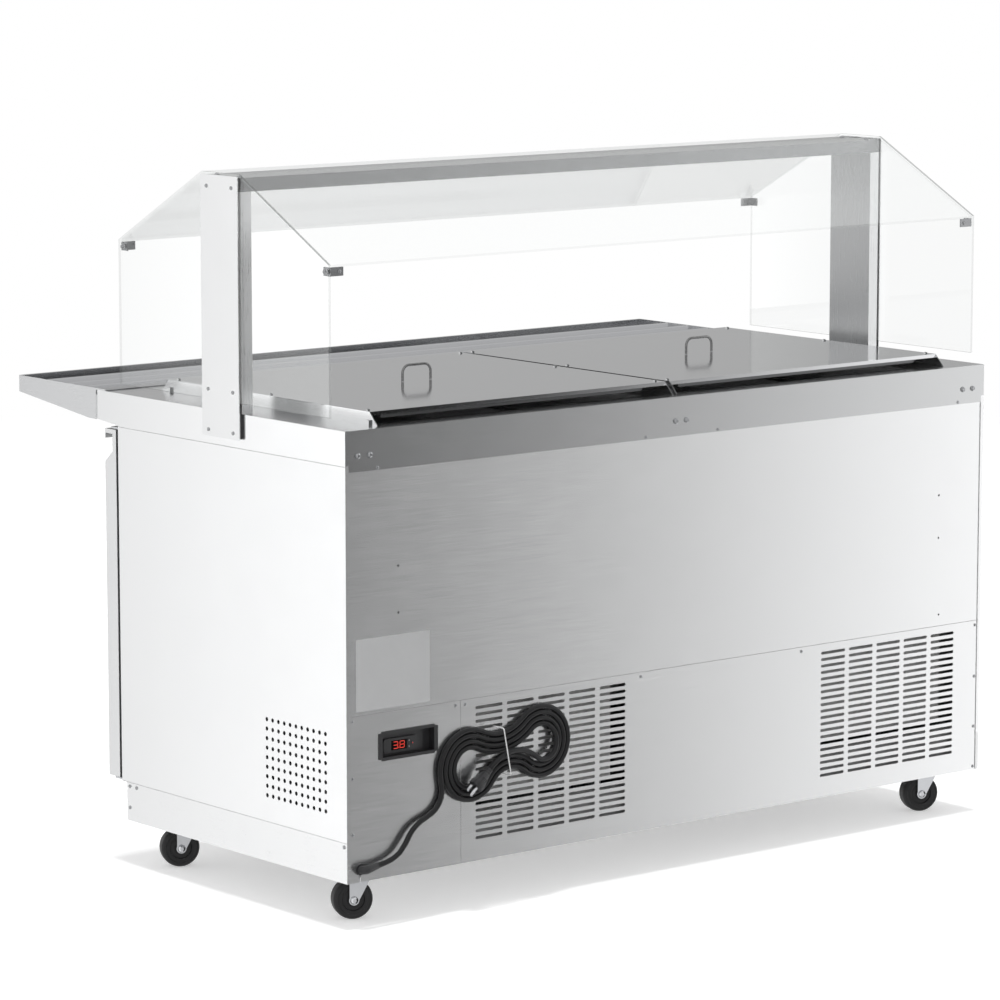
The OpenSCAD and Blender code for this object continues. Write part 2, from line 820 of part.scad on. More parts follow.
module caster_plates()
    color(ZINC)
        for (k = [0 : 3])
            at_caster(k) {
                rotate([0, 0, swivel_rest])
                    translate([-32, -32, pan_floor - 3])
                        cube([64, 64, 3]);
                translate([0, 0, crown_z1 + touch_gap])
                    cylinder(d = 44, h = pan_floor - 3 - crown_z1 - touch_gap);
                translate([0, 0, crown_z0 - touch_gap])
                    cylinder(d = king_d, h = crown_z1 - crown_z0 + 2 * touch_gap + 1);
                translate([0, 0, crown_z0 - touch_gap - 3])
                    cylinder(d = 18, h = 3);
            }

// Fork leg in (trail, height)
module leg_profile() {
    polygon([[-22, crown_z1], [20, crown_z1], [22, crown_z0 - 4], [trail + 8, wheel_d / 2 + 2],
        [trail - 7, wheel_d / 2 - 4], [-20, crown_z0 - 6]]);
    translate([trail, wheel_d / 2])
        circle(9);
}

module fork(k)
    color(ZINC)
        at_caster(k) {
            difference() {
                union() {
                    translate([0, 0, crown_z0])
                        cylinder(d = 46, h = crown_z1 - crown_z0);
                    for (s = [-1, 1])
                        translate([0, s > 0 ? leg_in + leg_t : -leg_in, 0])
                            rotate([90, 0, 0])
                                linear_extrude(leg_t)
                                    leg_profile();
                }
                translate([0, 0, crown_z0 - 1])
                    cylinder(d = king_d + 2 * run_fit, h = 10);
            }
            translate([trail, 0, wheel_d / 2])
                rotate([90, 0, 0])
                    cylinder(d = axle_d, h = 2 * leg_in, center = true);
            translate([trail, leg_in + leg_t, wheel_d / 2])
                rotate([-90, 0, 0])
                    dome_head(7, 4.5);
            translate([trail, -leg_in - leg_t, wheel_d / 2])
                rotate([90, 0, 0])
                    cylinder(d = 13, h = 5, $fn = 6);
        }

module wheel(k)
    color(BLACK)
        at_caster(k)
            translate([trail, 0, wheel_d / 2])
                rotate([90, 0, 0])
                    rotate_extrude($fn = 96) {
                        r = wheel_d / 2;
                        w = wheel_w / 2;
                        b = axle_d / 2 + run_fit;
                        polygon([[b, -w], [10, -w], [11, -w + 2], [19, -w + 3], [20, -w + 1],
                            [r - 9, -w + 1], [r - 7, -w], [r - 3, -w + 1], [r - 0.6, -w + 4], [r, -w + 8],
                            [r, w - 8], [r - 0.6, w - 4], [r - 3, w - 1], [r - 7, w], [r - 9, w - 1],
                            [20, w - 1], [19, w - 3], [11, w - 2], [10, w], [b, w]]);
                    }

// ------------------------------------------------------------------ condensing unit

machine_floor = pan_floor + sheet_t;
coil_half = 2 * slot_step_x + slot_len / 3;
coil_x0 = grille_left_x - coil_half;
coil_x1 = grille_left_x + coil_half;
coil_z1 = access_top - 12;
coil_v = 56;
coil_t = 44;
fan_z = (machine_floor + coil_z1) / 2;
fan_r = 0.7 * (coil_z1 - fan_z);
hub_r = 23;
blade_l = fan_r - hub_r + 1;
shroud_v = coil_v + coil_t;
shroud_t = 26;
fan_v = shroud_v + 4;
fan_shaft_d = 8;

module condenser_coil()
    color([0.55, 0.56, 0.57]) {
        for (x = [coil_x0, coil_x1 - 2])
            vbox(x, x + 2, coil_v, coil_v + coil_t, machine_floor, coil_z1);
        for (z = [machine_floor + 8, coil_z1 - 8])
            vbox(coil_x0, coil_x1, coil_v, coil_v + coil_t, z - 1, z + 1);
        for (i = [1 : 45])
            vbox(coil_x0 + i * (coil_x1 - coil_x0) / 46 - 0.4,
                coil_x0 + i * (coil_x1 - coil_x0) / 46 + 0.4,
                coil_v + 1, coil_v + coil_t - 1, machine_floor + 9, coil_z1 - 9);
        for (j = [0 : 6])
            translate([coil_x0 - 8, rim_back - coil_v - coil_t / 2, machine_floor + 24 + j * 33])
                rotate([0, 90, 0])
                    cylinder(d = 9, h = coil_x1 - coil_x0 + 16, $fn = 24);
    }

module fan_shroud()
    color(DARK_STEEL) {
        difference() {
            vbox(coil_x0, coil_x1, shroud_v, shroud_v + shroud_t, machine_floor, coil_z1);
            vbox(coil_x0 + 2, coil_x1 - 2, shroud_v - 1, shroud_v + shroud_t - 2,
                machine_floor + 2, coil_z1 - 2);
            translate([grille_left_x, rim_back - shroud_v, fan_z])
                rotate([90, 0, 0])
                    cylinder(r = fan_r + 4, h = shroud_t + 1, $fn = 96);
        }
        // Motor on two straps behind the fan
        translate([grille_left_x, rim_back - shroud_v - shroud_t - 6, fan_z])
            rotate([90, 0, 0])
                cylinder(d = 74, h = 42);
        for (s = [-1, 1])
            vbox(grille_left_x + s * 20 - 6, grille_left_x + s * 20 + 6,
                shroud_v + shroud_t, shroud_v + shroud_t + 6, machine_floor + 2, coil_z1 - 2);
        translate([grille_left_x, rim_back - fan_v - 9, fan_z])
            rotate([90, 0, 0])
                cylinder(d = fan_shaft_d, h = shroud_t - 6);
    }

module condenser_fan()
    color(BLACK)
        difference() {
            union() {
                translate([grille_left_x, rim_back - fan_v, fan_z])
                    rotate([90, 0, 0])
                        cylinder(r = hub_r, h = 20);
                for (i = [0 : 4])
                    translate([grille_left_x, rim_back - fan_v - 10, fan_z])
                        rotate([0, i * 72, 0])
                            translate([fan_r - 3 - blade_l / 2, 0, 0])
                                rotate([28, 0, 0])
                                    cube([blade_l, 2, 40], center = true);
            }
            translate([grille_left_x, rim_back - fan_v - 8, fan_z])
                rotate([90, 0, 0])
                    cylinder(d = fan_shaft_d + 2 * run_fit, h = 14);
        }

// A bought unit with its own size, beside the coil
compressor_x = coil_x0 - 130;
compressor_v = machine_d / 2 + 12;

module compressor()
    color(BLACK)
        translate([compressor_x, rim_back - compressor_v, machine_floor]) {
            for (sx = [-1, 1], sy = [-1, 1])
                translate([sx * 75, sy * 60, 0])
                    cylinder(d = 22, h = 12);
            translate([-90, -75, 12])
                cube([180, 150, 3]);
            translate([0, 0, 15])
                rotate_extrude()
                    polygon([[0, 0], [55, 0], [72, 14], [74, 30], [74, 78], [77, 80], [77, 84], [74, 86],
                        [72, 128], [60, 150], [36, 162], [0, 166]]);
            translate([70, -26, 70])
                cube([30, 52, 62]);
            translate([-30, 30, 170])
                cylinder(d = 10, h = 34);
        }

// Evaporator box under the storage space's ceiling, with slots for the air in its front
evap_half = store_half * 0.27;
evap_d = 96;
evap_h = 110;
evap_slots = 7;
evap_step = 13;

module evaporator()
    color(STEEL)
        difference() {
            vbox(-evap_half, evap_half, wall_t, wall_t + evap_d, store_top - evap_h, store_top);
            vbox(-evap_half + 4, evap_half - 4, wall_t + 3, wall_t + evap_d - 36,
                store_top - evap_h + 4, store_top - 4);
            for (j = [0 : evap_slots - 1])
                vbox(-evap_half + 20, evap_half - 20, wall_t + evap_d - 6, wall_t + evap_d + 1,
                    store_top - evap_h + 12 + j * evap_step, store_top - evap_h + 18 + j * evap_step);
        }

// ------------------------------------------------------------------ controller

recess_depth = 12;
recess_lip = 5.4;       // flange over and under the recess
recess_tab = 8;         // flange at its sides
bezel_w = 72.5;
bezel_h = 25;
bezel_x = recess_x + recess_w / 2 - bezel_w / 2 - 8.9;
bezel_z = recess_z - 3.4;
bezel_v = panel_out + recess_depth - 4;
display_w = 34;
display_h = 17;
display_x = bezel_x + 3;
key_d = 4.6;
key_travel = 0.8;
key_up_pos = [bezel_x - 18, bezel_z + 5.3];
key_down_pos = [bezel_x - 18, bezel_z - 5.3];
key_set_pos = [bezel_x - 25.5, bezel_z];

module controller_housing()
    color(BLACK)
        difference() {
            union() {
                along_v(0, panel_out) {
                    translate([recess_x, recess_z])
                        square([recess_w + 2, recess_h + 2 * recess_lip], center = true);
                    translate([recess_x, recess_z])
                        square([recess_w + 2 * recess_tab, recess_h + 5], center = true);
                }
                along_v(panel_out, panel_out + recess_depth + 2)
                    translate([recess_x, recess_z])
                        square([recess_w + 3.4, recess_h + 3.4], center = true);
                along_v(panel_out + recess_depth + 2, panel_out + recess_depth + 40)
                    translate([bezel_x, bezel_z])
                        square([bezel_w - 5, bezel_h], center = true);
            }
            difference() {
                along_v(-1, panel_out + recess_depth)
                    translate([recess_x, recess_z])
                        square([recess_w, recess_h], center = true);
                along_v(bezel_v, panel_out + recess_depth + 1)
                    translate([bezel_x, bezel_z])
                        round_rect(bezel_w, bezel_h, 5);
            }
            along_v(bezel_v - 1, bezel_v + 0.6)
                translate([display_x, bezel_z])
                    square([display_w, display_h], center = true);
            for (p = [key_up_pos, key_down_pos, key_set_pos])
                along_v(bezel_v - 1, bezel_v + 4)
                    translate(p)
                        circle(d = key_d + 2 * key_fit, $fn = 24);
        }

module key(p)
    color([0.75, 0.76, 0.78])
        along_v(bezel_v - 1, bezel_v + 2.6)
            translate(p)
                circle(d = key_d, $fn = 24);

// ------------------------------------------------------------------ power cord

// Layers over the panel's face
layer_1 = cord_d / 2 + 0.5;
layer_2 = layer_1 + cord_d + 0.5;
plug_t = 20;
layer_plug = layer_1 + cord_d / 2 + 0.8 + plug_t / 2;

// The tie passes through one slot above the hank and one below it
tie_d = 2.2;
tie_row_top = 3;
tie_row_bottom = 10;
tie_drop = slot_h / 2 - tie_d / 2 - 0.05;
tie_turn = 0.45;                        // room for the tie's upper bend behind the panel
tie_top = [slot_x(0) - slot_len / 2 + 19, slot_z(tie_row_top) - tie_drop + tie_turn];
tie_bottom = [slot_x(0) - slot_len / 2 + slot_h / 2, slot_z(tie_row_bottom) - tie_drop];

// Hank: two lobes of this radius, whose centres lie this far from the waist and this far below
// it, drawn in by an arc above and an arc below that touch both lobes
hank_x = slot_x(0) - 32.5;
hank_z = (tie_top[1] + tie_bottom[1]) / 2 - 5;
hank_tilt = 8.9;
lobe_r = 66;
lobe_c = 79.5;
lobe_sag = 4;
waist_up = 38;
waist_low = 35;
lane_step = cord_d + 0.5;
function arc_centre(inward, sag) =
    (lobe_c * lobe_c + lobe_sag * lobe_sag - inward * inward) / 2 / (inward - sag);
arc_up = arc_centre(lobe_r - waist_up, lobe_sag);
arc_down = arc_centre(lobe_r - waist_low, -lobe_sag);
up_r = arc_up - waist_up;
down_r = arc_down - waist_low;
up_a = atan((arc_up + lobe_sag) / lobe_c);
down_a = atan((arc_down - lobe_sag) / lobe_c);
loop_rings = 24;
full_loops = 3;
hank_end = full_loops * loop_rings + 19.35;
climb_start = full_loops * loop_rings + 9;
climb_end = full_loops * loop_rings + 15;

// Point on the flat hank at ring t of a loop with inset s, as [image right, up]
function hank_flat(t, s) =
    t < 4 ? let (a = 180 - t / 4 * (180 - up_a))
        [-lobe_c + (lobe_r - s) * cos(a), -lobe_sag + (lobe_r - s) * sin(a)] :
    t < 8 ? let (a = 180 + up_a + (t - 4) / 4 * (180 - 2 * up_a))
        [(up_r + s) * cos(a), arc_up + (up_r + s) * sin(a)] :
    t < 16 ? let (a = 180 - up_a - (t - 8) / 8 * (360 - up_a - down_a))
        [lobe_c + (lobe_r - s) * cos(a), -lobe_sag + (lobe_r - s) * sin(a)] :
    t < 20 ? let (a = down_a + (t - 16) / 4 * (180 - 2 * down_a))
        [(down_r + s) * cos(a), -arc_down + (down_r + s) * sin(a)] :
    let (a = -down_a - (t - 20) / 4 * (180 - down_a))
        [-lobe_c + (lobe_r - s) * cos(a), -lobe_sag + (lobe_r - s) * sin(a)];

function smooth(x) = let (c = min(1, max(0, x))) c * c * (3 - 2 * c);

function hank_depth(k) =
    layer_1 + (layer_2 - layer_1) * smooth((k - climb_start) / (climb_end - climb_start))
    + (layer_plug - layer_2) * smooth((k - climb_end) / (hank_end - climb_end));

// Turn the flat point by the tilt and set it on the panel
function hank_place(q, d) =
    [hank_x - q[0] * cos(hank_tilt) + q[1] * sin(hank_tilt), rim_back - panel_out + d,
        hank_z + q[0] * sin(hank_tilt) + q[1] * cos(hank_tilt)];

function hank_point(k) =
    hank_place(hank_flat(k % loop_rings, lane_step * k / loop_rings), hank_depth(k));

hank_ks = concat([for (k = [0 : floor(hank_end)]) k], [hank_end]);
hank_rings = [for (k = hank_ks) hank_point(k)];
hank_last = hank_rings[len(hank_rings) - 1];
hank_first_dir = flat(hank_point(0.05) - hank_point(0));
hank_last_dir = flat(hank_point(hank_end) - hank_point(hank_end - 0.05));
hank_points = concat([hank_rings[0] - cord_d * hank_first_dir], hank_rings,
    [hank_last + cord_d * hank_last_dir]);

// Route of the free stretch from the strain relief to the hank, along the panel's face, as
// [towards the grille, off the strain relief's axis, above the grommet]
lead_route = [[49, 0, 8], [59.5, 0, 11], [69.5, -0.5, 15.5], [78.5, -0.5, 21.5], [86, -1, 29.5],
    [93, -1.5, 38], [99.5, -2, 47], [107, -2.5, 55], [116, -3, 62], [126, -3.5, 67.5],
    [136.5, -4, 71.5], [147, -4.5, 76], [157, -5, 82], [164, -5.5, 89], [169.5, -6, 97.5],
    [172.5, -6.5, 107]];
relief_bend = 9;
relief_len = 20;
relief_rise = 9;
relief_depth = 3 + relief_bend;
relief_dir = [-cos(relief_rise), 0, sin(relief_rise)];
lead_start = [grommet_x, rim_back - panel_out + relief_depth, grommet_z]
    + (relief_bend + relief_len) * relief_dir;
lead_points = concat([lead_start, lead_start + cord_d * relief_dir],
    [for (p = lead_route)
        [grommet_x - p[0], rim_back - panel_out + relief_depth + p[1], grommet_z + p[2]]],
    [hank_points[0] - cord_d * hank_first_dir, hank_points[0]]);

function unit(v) = v / norm(v);
function flat(v) = unit([v[0], 0, v[2]]);
function tangent(p, i) =
    unit(p[min(i + 1, len(p) - 1)] - p[max(i - 1, 0)]);
function ring(c, t, ref, r, n) =
    let (a = unit(cross(t, ref)), b = cross(t, a))
    [for (j = [0 : n - 1]) c + r * cos(360 * j / n) * a + r * sin(360 * j / n) * b];

// One closed tube through the points; ref is never parallel to the run
module tube(p, d, n, ref, first_dir, last_dir) {
    last = len(p) - 1;
    pts = [for (i = [0 : last])
        each ring(p[i], i == 0 ? first_dir : i == last ? last_dir : tangent(p, i), ref, d / 2, n)];
    faces = concat(
        [for (i = [0 : last - 1], j = [0 : n - 1])
            each [[i * n + j, i * n + (j + 1) % n, (i + 1) * n + j],
                [i * n + (j + 1) % n, (i + 1) * n + (j + 1) % n, (i + 1) * n + j]]],
        [[for (j = [n - 1 : -1 : 0]) j]],
        [[for (j = [0 : n - 1]) last * n + j]]);
    polyhedron(pts, faces, convexity = 10);
}

module power_cord()
    color(BLACK)
        tube(lead_points, cord_d, 8, [0, 1, 0], relief_dir, hank_first_dir);

module cord_hank()
    color(BLACK)
        tube(hank_points, cord_d, 6, [0, 1, 0], hank_first_dir, hank_last_dir);

// Least distance between stretches of the hank that are not neighbours, less the diameter
far_apart = 5;
hank_gap = min([for (i = [0 : len(hank_points) - 1 - far_apart],
    j = [i + far_apart : len(hank_points) - 1])
        norm(hank_points[i] - hank_points[j])]) - cord_d;
echo(hank_gap = hank_gap);

// Grommet in the panel, with a moulded elbow and a tapered sleeve along the cord
module cord_grommet()
    color(BLACK)
        translate([grommet_x, rim_back - panel_out, grommet_z])
            rotate([0, relief_rise, 0]) {
                rotate([-90, 0, 0]) {
                    translate([0, 0, -sheet_t - 3])
                        cylinder(d = 19, h = 3);
                    translate([0, 0, -sheet_t])
                        cylinder(d = grommet_bore - 0.1, h = sheet_t);
                    cylinder(d = 19, h = 3);
                }
                translate([-relief_bend, 3, 0])
                    rotate_extrude(angle = 90)
                        translate([relief_bend, 0])
                            circle(d = 15);
                translate([-relief_bend, relief_depth, 0])
                    rotate([0, -90, 0])
                        cylinder(d1 = 15, d2 = cord_d + 2, h = relief_len);
            }

plug_len = 34;
plug_w = 25;

// Plug along local +X from the cord's end, lying in the hank's plane
module plug()
    translate(hank_last + cord_d * hank_last_dir)
        rotate([0, -atan2(hank_last_dir[2], hank_last_dir[0]), 0])
            rotate([90, 0, 0]) {
                color(BLACK) {
                    rotate([0, 90, 0])
                        cylinder(d1 = cord_d + 2.5, d2 = 15, h = 14);
                    translate([14, 0, -plug_t / 2])
                        linear_extrude(plug_t)
                            polygon([[0, -7], [6, -9], [12, -10], [20, -plug_w / 2], [plug_len - 6, -plug_w / 2],
                                [plug_len - 6, plug_w / 2], [20, plug_w / 2], [12, 10], [6, 9], [0, 7]]);
                }
                color(ZINC)
                    translate([14 + plug_len - 6, 0, 0]) {
                        for (s = [-1, 1])
                            translate([0, s * 6.35 - 0.8, -5])
                                cube([16, 1.6, 6.4]);
                        translate([0, 0, 6])
                            rotate([0, 90, 0])
                                cylinder(d = 4.8, h = 19, $fn = 24);
                    }
            }

// Tie round the waist: a rounded ring through the slots
tie_front = layer_plug + cord_d / 2 + 0.4 + tie_d / 2;
tie_back = -sheet_t - 0.5 - tie_d / 2;
tie_bend = 3;

module hank_tie() {
    run = norm(tie_top - tie_bottom);
    lean = atan2(tie_top[0] - tie_bottom[0], tie_top[1] - tie_bottom[1]);
    depth = tie_front - tie_back;
    color("white")
        translate([(tie_top[0] + tie_bottom[0]) / 2,
            rim_back - panel_out + (tie_front + tie_back) / 2, (tie_top[1] + tie_bottom[1]) / 2])
            rotate([0, lean, 0])
                for (s = [-1, 1]) {
                    translate([0, s * depth / 2, -run / 2 + tie_bend])
                        cylinder(d = tie_d, h = run - 2 * tie_bend, $fn = 16);
                    translate([0, -depth / 2 + tie_bend, s * run / 2])
                        rotate([-90, 0, 0])
                            cylinder(d = tie_d, h = depth - 2 * tie_bend, $fn = 16);
                    for (q = [-1, 1])
                        translate([0, q * (depth / 2 - tie_bend), s * (run / 2 - tie_bend)])
                            rotate([0, 90, 0])
                                rotate([0, 0, s > 0 ? (q > 0 ? 90 : 180) : (q > 0 ? 0 : 270)])
                                    rotate_extrude(angle = 90)
                                        translate([tie_bend, 0])
                                            circle(d = tie_d, $fn = 16);
                }
}

// ------------------------------------------------------------------ fasteners

// Round-headed bolts on the rim's back and on the beam's top
module bolts()
    color(ZINC) {
        for (x = [half - 26.5, half - 52, 17.5, -7.9, -half + 55.5, -half + 30])
            translate([x, rim_back, counter_h - 43])
                rotate([-90, 0, 0])
                    dome_head(5, bolt_head_h);
        both_ends()
            for (s = [-1, 1])
                translate([half - 14, rim_back - guard_mid - s * 33, beam_z1])
                    dome_head(4.5, 3.2);
    }

module back_screw(x, z, v)
    translate([x, rim_back - v, z])
        rotate([-90, 0, 0])
            dome_head(3, 1.4);

module end_screw(v, z, x)
    translate([x, rim_back - v, z])
        rotate([0, 90, 0])
            dome_head(3.4, 1.8);

module screws()
    color(ZINC) {
        for (x = [half - 67.5, 87, -82, -half + 67.5])
            back_screw(x, counter_h - 66, 0);
        for (z = [197.2, 99.6, 3.3])
            back_screw(half - return_w - 6, floor_gap + 80 + z, panel_out);
        for (x = [panel_seam + 11, panel_seam - 10, 95, -292])
            back_screw(x, access_top - 8, panel_out);
        for (z = [277, 179, 83, 6])
            back_screw(-half + return_w + 5.5, floor_gap + z, panel_out);
        both_ends() {
            for (v = [guard_mid - 36, guard_mid + 36], z = [beam_top - 18, 36, -34])
                end_screw(v, counter_h + z, cover_out);
            for (z = [63, 24])
                end_screw(kick_v - 9, floor_gap + z, half);
            for (v = [kick_v - 30, 8])
                end_screw(v, floor_gap + 63, half);
        }
    }

// ------------------------------------------------------------------ parts

top_surround();
end_panel(true);  // end_panel_vented
mirror([1, 0, 0]) end_panel(false);  // end_panel_plain
back_panel();
controller_panel();
grille_panel();
base_frame();
kick_plate();
insulated_body();
front_frame();
well_liner();
center_bar();
food_pans();
wire_shelves();
lid_top_sheet();  // lid_left_top
lid_frame();  // lid_left_frame
mirror([1, 0, 0]) lid_top_sheet();  // lid_right_top
mirror([1, 0, 0]) lid_frame();  // lid_right_frame
posts();
post_covers();
glass_spacers();
guard_beam();
end_glass();
slope_glass_back();
slope_glass_front();
glass_clips();
tray_shelf();
tray_brackets();
door_panel();  // door_left
door_liner();  // door_left_liner
door_gasket();  // door_left_gasket
mirror([1, 0, 0]) door_panel();  // door_right
mirror([1, 0, 0]) door_liner();  // door_right_liner
mirror([1, 0, 0]) door_gasket();  // door_right_gasket
door_hinges();
caster_plates();
fork(0);  // fork_1
fork(1);  // fork_2
fork(2);  // fork_3
fork(3);  // fork_4
wheel(0);  // wheel_1
wheel(1);  // wheel_2
wheel(2);  // wheel_3
wheel(3);  // wheel_4
compressor();
condenser_coil();
fan_shroud();
condenser_fan();
evaporator();
controller_housing();
key(key_up_pos);  // key_up
key(key_down_pos);  // key_down
key(key_set_pos);  // key_set
cord_grommet();
power_cord();
cord_hank();
plug();
hank_tie();
bolts();
screws();
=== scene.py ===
import math

import bmesh
import bpy
from mathutils import Matrix, Vector


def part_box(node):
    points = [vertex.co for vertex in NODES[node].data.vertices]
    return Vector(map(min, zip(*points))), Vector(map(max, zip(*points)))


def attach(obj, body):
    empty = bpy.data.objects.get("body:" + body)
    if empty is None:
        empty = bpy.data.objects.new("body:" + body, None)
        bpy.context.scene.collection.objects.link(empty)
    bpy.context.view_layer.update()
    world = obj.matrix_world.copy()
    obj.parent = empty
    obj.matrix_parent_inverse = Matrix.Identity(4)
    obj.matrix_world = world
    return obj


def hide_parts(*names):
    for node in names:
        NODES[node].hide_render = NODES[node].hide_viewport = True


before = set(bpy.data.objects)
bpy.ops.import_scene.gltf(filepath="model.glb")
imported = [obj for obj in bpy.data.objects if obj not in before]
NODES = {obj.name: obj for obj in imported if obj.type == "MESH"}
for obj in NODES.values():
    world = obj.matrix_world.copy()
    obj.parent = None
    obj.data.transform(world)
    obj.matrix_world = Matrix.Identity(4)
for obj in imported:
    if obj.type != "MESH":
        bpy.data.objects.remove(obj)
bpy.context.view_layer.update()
MM = 0.001

# ------------------------------------------------------------------ camera

CAMERA_PLACE = Vector((5.2492, 6.4008, 1.845))
CAMERA_AIM = Vector((-0.62585, -0.76581, -0.14779))
CAMERA_LENS = 162.48
CAMERA_SENSOR = 36.0
CAMERA_REACH = 200.0

camera_data = bpy.data.cameras.new("camera")
camera_data.lens = CAMERA_LENS
camera_data.sensor_width = CAMERA_SENSOR
camera_data.clip_end = CAMERA_REACH
camera = bpy.data.objects.new("camera", camera_data)
camera.location = CAMERA_PLACE
camera.rotation_euler = CAMERA_AIM.to_track_quat("-Z", "Y").to_euler()
bpy.context.scene.collection.objects.link(camera)
bpy.context.scene.camera = camera

# ------------------------------------------------------------------ mesh helpers


def add_piece(name, mesh, body="cabinet", material=None, smooth=False):
    """Links a finished mesh as a piece that rides on a body."""
    piece = bpy.data.objects.new(name, mesh)
    bpy.context.scene.collection.objects.link(piece)
    if material is not None:
        mesh.materials.append(material)
    for face in mesh.polygons:
        face.use_smooth = smooth
    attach(piece, body)
    return piece


def from_bmesh(name, bm):
    bmesh.ops.recalc_face_normals(bm, faces=bm.faces)
    mesh = bpy.data.meshes.new(name)
    bm.to_mesh(mesh)
    bm.free()
    return mesh


def loft(bm, rings):
    """Joins rings of equal count into a tube, closed at its ends."""
    rows = [[bm.verts.new(p) for p in ring] for ring in rings]
    count = len(rows[0])
    for low, high in zip(rows, rows[1:]):
        for j in range(count):
            k = (j + 1) % count
            bm.faces.new((low[j], low[k], high[k], high[j]))
    bm.faces.new(rows[0][::-1])
    bm.faces.new(rows[-1])


def superellipse(half_w, half_t, power, count):
    """Points of a rounded outline, as pairs across and through."""
    points = []
    for j in range(count):
        a = 2 * math.pi * j / count
        c, s = math.cos(a), math.sin(a)
        points.append((
            half_w * math.copysign(abs(c) ** (2 / power), c),
            half_t * math.copysign(abs(s) ** (2 / power), s)))
    return points


def tube_mesh(name, path, radius, sides):
    """A closed tube along a path, whose rings are carried along without twist."""
    bm = bmesh.new()
    rings = []
    side = None
    for i, point in enumerate(path):
        run = (path[min(i + 1, len(path) - 1)] - path[max(i - 1, 0)]).normalized()
        side = Vector((0, 1, 0)) if side is None else side
        side = (side - run * side.dot(run)).normalized()
        other = run.cross(side)
        rings.append([
            point + radius * (math.cos(2 * math.pi * j / sides) * side
                              + math.sin(2 * math.pi * j / sides) * other)
            for j in range(sides)])
    loft(bm, rings)
    return from_bmesh(name, bm)


# ------------------------------------------------------------------ power cord
# The route of part.scad's lead and hank, in millimetres

CORD_D = 9.5
PANEL_Y = 487.4
GROMMET_X = 722.5
GROMMET_Z = 102.0
RELIEF_RISE = math.radians(9)
RELIEF_BEND = 9.0
RELIEF_LEN = 20.0
RELIEF_DEPTH = 12.0
LEAD_ROUTE = [
    (49, 0, 8), (59.5, 0, 11), (69.5, -0.5, 15.5), (78.5, -0.5, 21.5), (86, -1, 29.5),
    (93, -1.5, 38), (99.5, -2, 47), (107, -2.5, 55), (116, -3, 62), (126, -3.5, 67.5),
    (136.5, -4, 71.5), (147, -4.5, 76), (157, -5, 82), (164, -5.5, 89), (169.5, -6, 97.5),
    (172.5, -6.5, 107)]

SLOT_X0 = 441.0
SLOT_TOP_Z = 348.6
SLOT_STEP_Z = 12.0
SLOT_H = 5.5
TIE_D = 2.2
TIE_GAP = 0.05
TIE_DROP = SLOT_H / 2 - TIE_D / 2 - TIE_GAP
TIE_TURN = 0.45
TIE_ROW_TOP = 3
TIE_ROW_BOTTOM = 10
TIE_TOP_Z = SLOT_TOP_Z - TIE_ROW_TOP * SLOT_STEP_Z - TIE_DROP + TIE_TURN
TIE_BOTTOM_Z = SLOT_TOP_Z - TIE_ROW_BOTTOM * SLOT_STEP_Z - TIE_DROP

CORD_GAP = 0.5
LAYER_1 = CORD_D / 2 + CORD_GAP
LAYER_2 = LAYER_1 + CORD_D + CORD_GAP
PLUG_T = 20.0
PLUG_GAP = 0.8
LAYER_PLUG = LAYER_1 + CORD_D / 2 + PLUG_GAP + PLUG_T / 2
HANK_ASIDE = 32.5
HANK_DROP = 5
HANK_X = SLOT_X0 - HANK_ASIDE
HANK_Z = (TIE_TOP_Z + TIE_BOTTOM_Z) / 2 - HANK_DROP
HANK_TILT = math.radians(8.9)
LOBE_R = 66.0
LOBE_C = 79.5
LOBE_SAG = 4.0
WAIST_UP = 38.0
WAIST_LOW = 35.0
LANE_STEP = CORD_D + CORD_GAP
LOOP_RINGS = 24
FULL_LOOPS = 3
HANK_END = FULL_LOOPS * LOOP_RINGS + 19.35
CLIMB_START = FULL_LOOPS * LOOP_RINGS + 9
CLIMB_END = FULL_LOOPS * LOOP_RINGS + 15


def arc_centre(inward, sag):
    """Distance to the centre of the waist arc that meets both lobes without a corner."""
    return (LOBE_C ** 2 + LOBE_SAG ** 2 - inward ** 2) / 2 / (inward - sag)


ARC_UP = arc_centre(LOBE_R - WAIST_UP, LOBE_SAG)
ARC_DOWN = arc_centre(LOBE_R - WAIST_LOW, -LOBE_SAG)
UP_R = ARC_UP - WAIST_UP
DOWN_R = ARC_DOWN - WAIST_LOW
UP_A = math.atan((ARC_UP + LOBE_SAG) / LOBE_C)
DOWN_A = math.atan((ARC_DOWN - LOBE_SAG) / LOBE_C)


def on_arc(cx, cy, r, a):
    return cx + r * math.cos(a), cy + r * math.sin(a)


def hank_flat(t, inset):
    """Point of a loop at ring t, with its lanes set in by inset."""
    if t < 4:
        return on_arc(-LOBE_C, -LOBE_SAG, LOBE_R - inset, math.pi - t / 4 * (math.pi - UP_A))
    if t < 8:
        a = math.pi + UP_A + (t - 4) / 4 * (math.pi - 2 * UP_A)
        return on_arc(0, ARC_UP, UP_R + inset, a)
    if t < 16:
        a = math.pi - UP_A - (t - 8) / 8 * (2 * math.pi - UP_A - DOWN_A)
        return on_arc(LOBE_C, -LOBE_SAG, LOBE_R - inset, a)
    if t < 20:
        a = DOWN_A + (t - 16) / 4 * (math.pi - 2 * DOWN_A)
        return on_arc(0, -ARC_DOWN, DOWN_R + inset, a)
    return on_arc(-LOBE_C, -LOBE_SAG, LOBE_R - inset, -DOWN_A - (t - 20) / 4 * (math.pi - DOWN_A))


def smooth_step(x):
    c = min(1.0, max(0.0, x))
    return c * c * (3 - 2 * c)


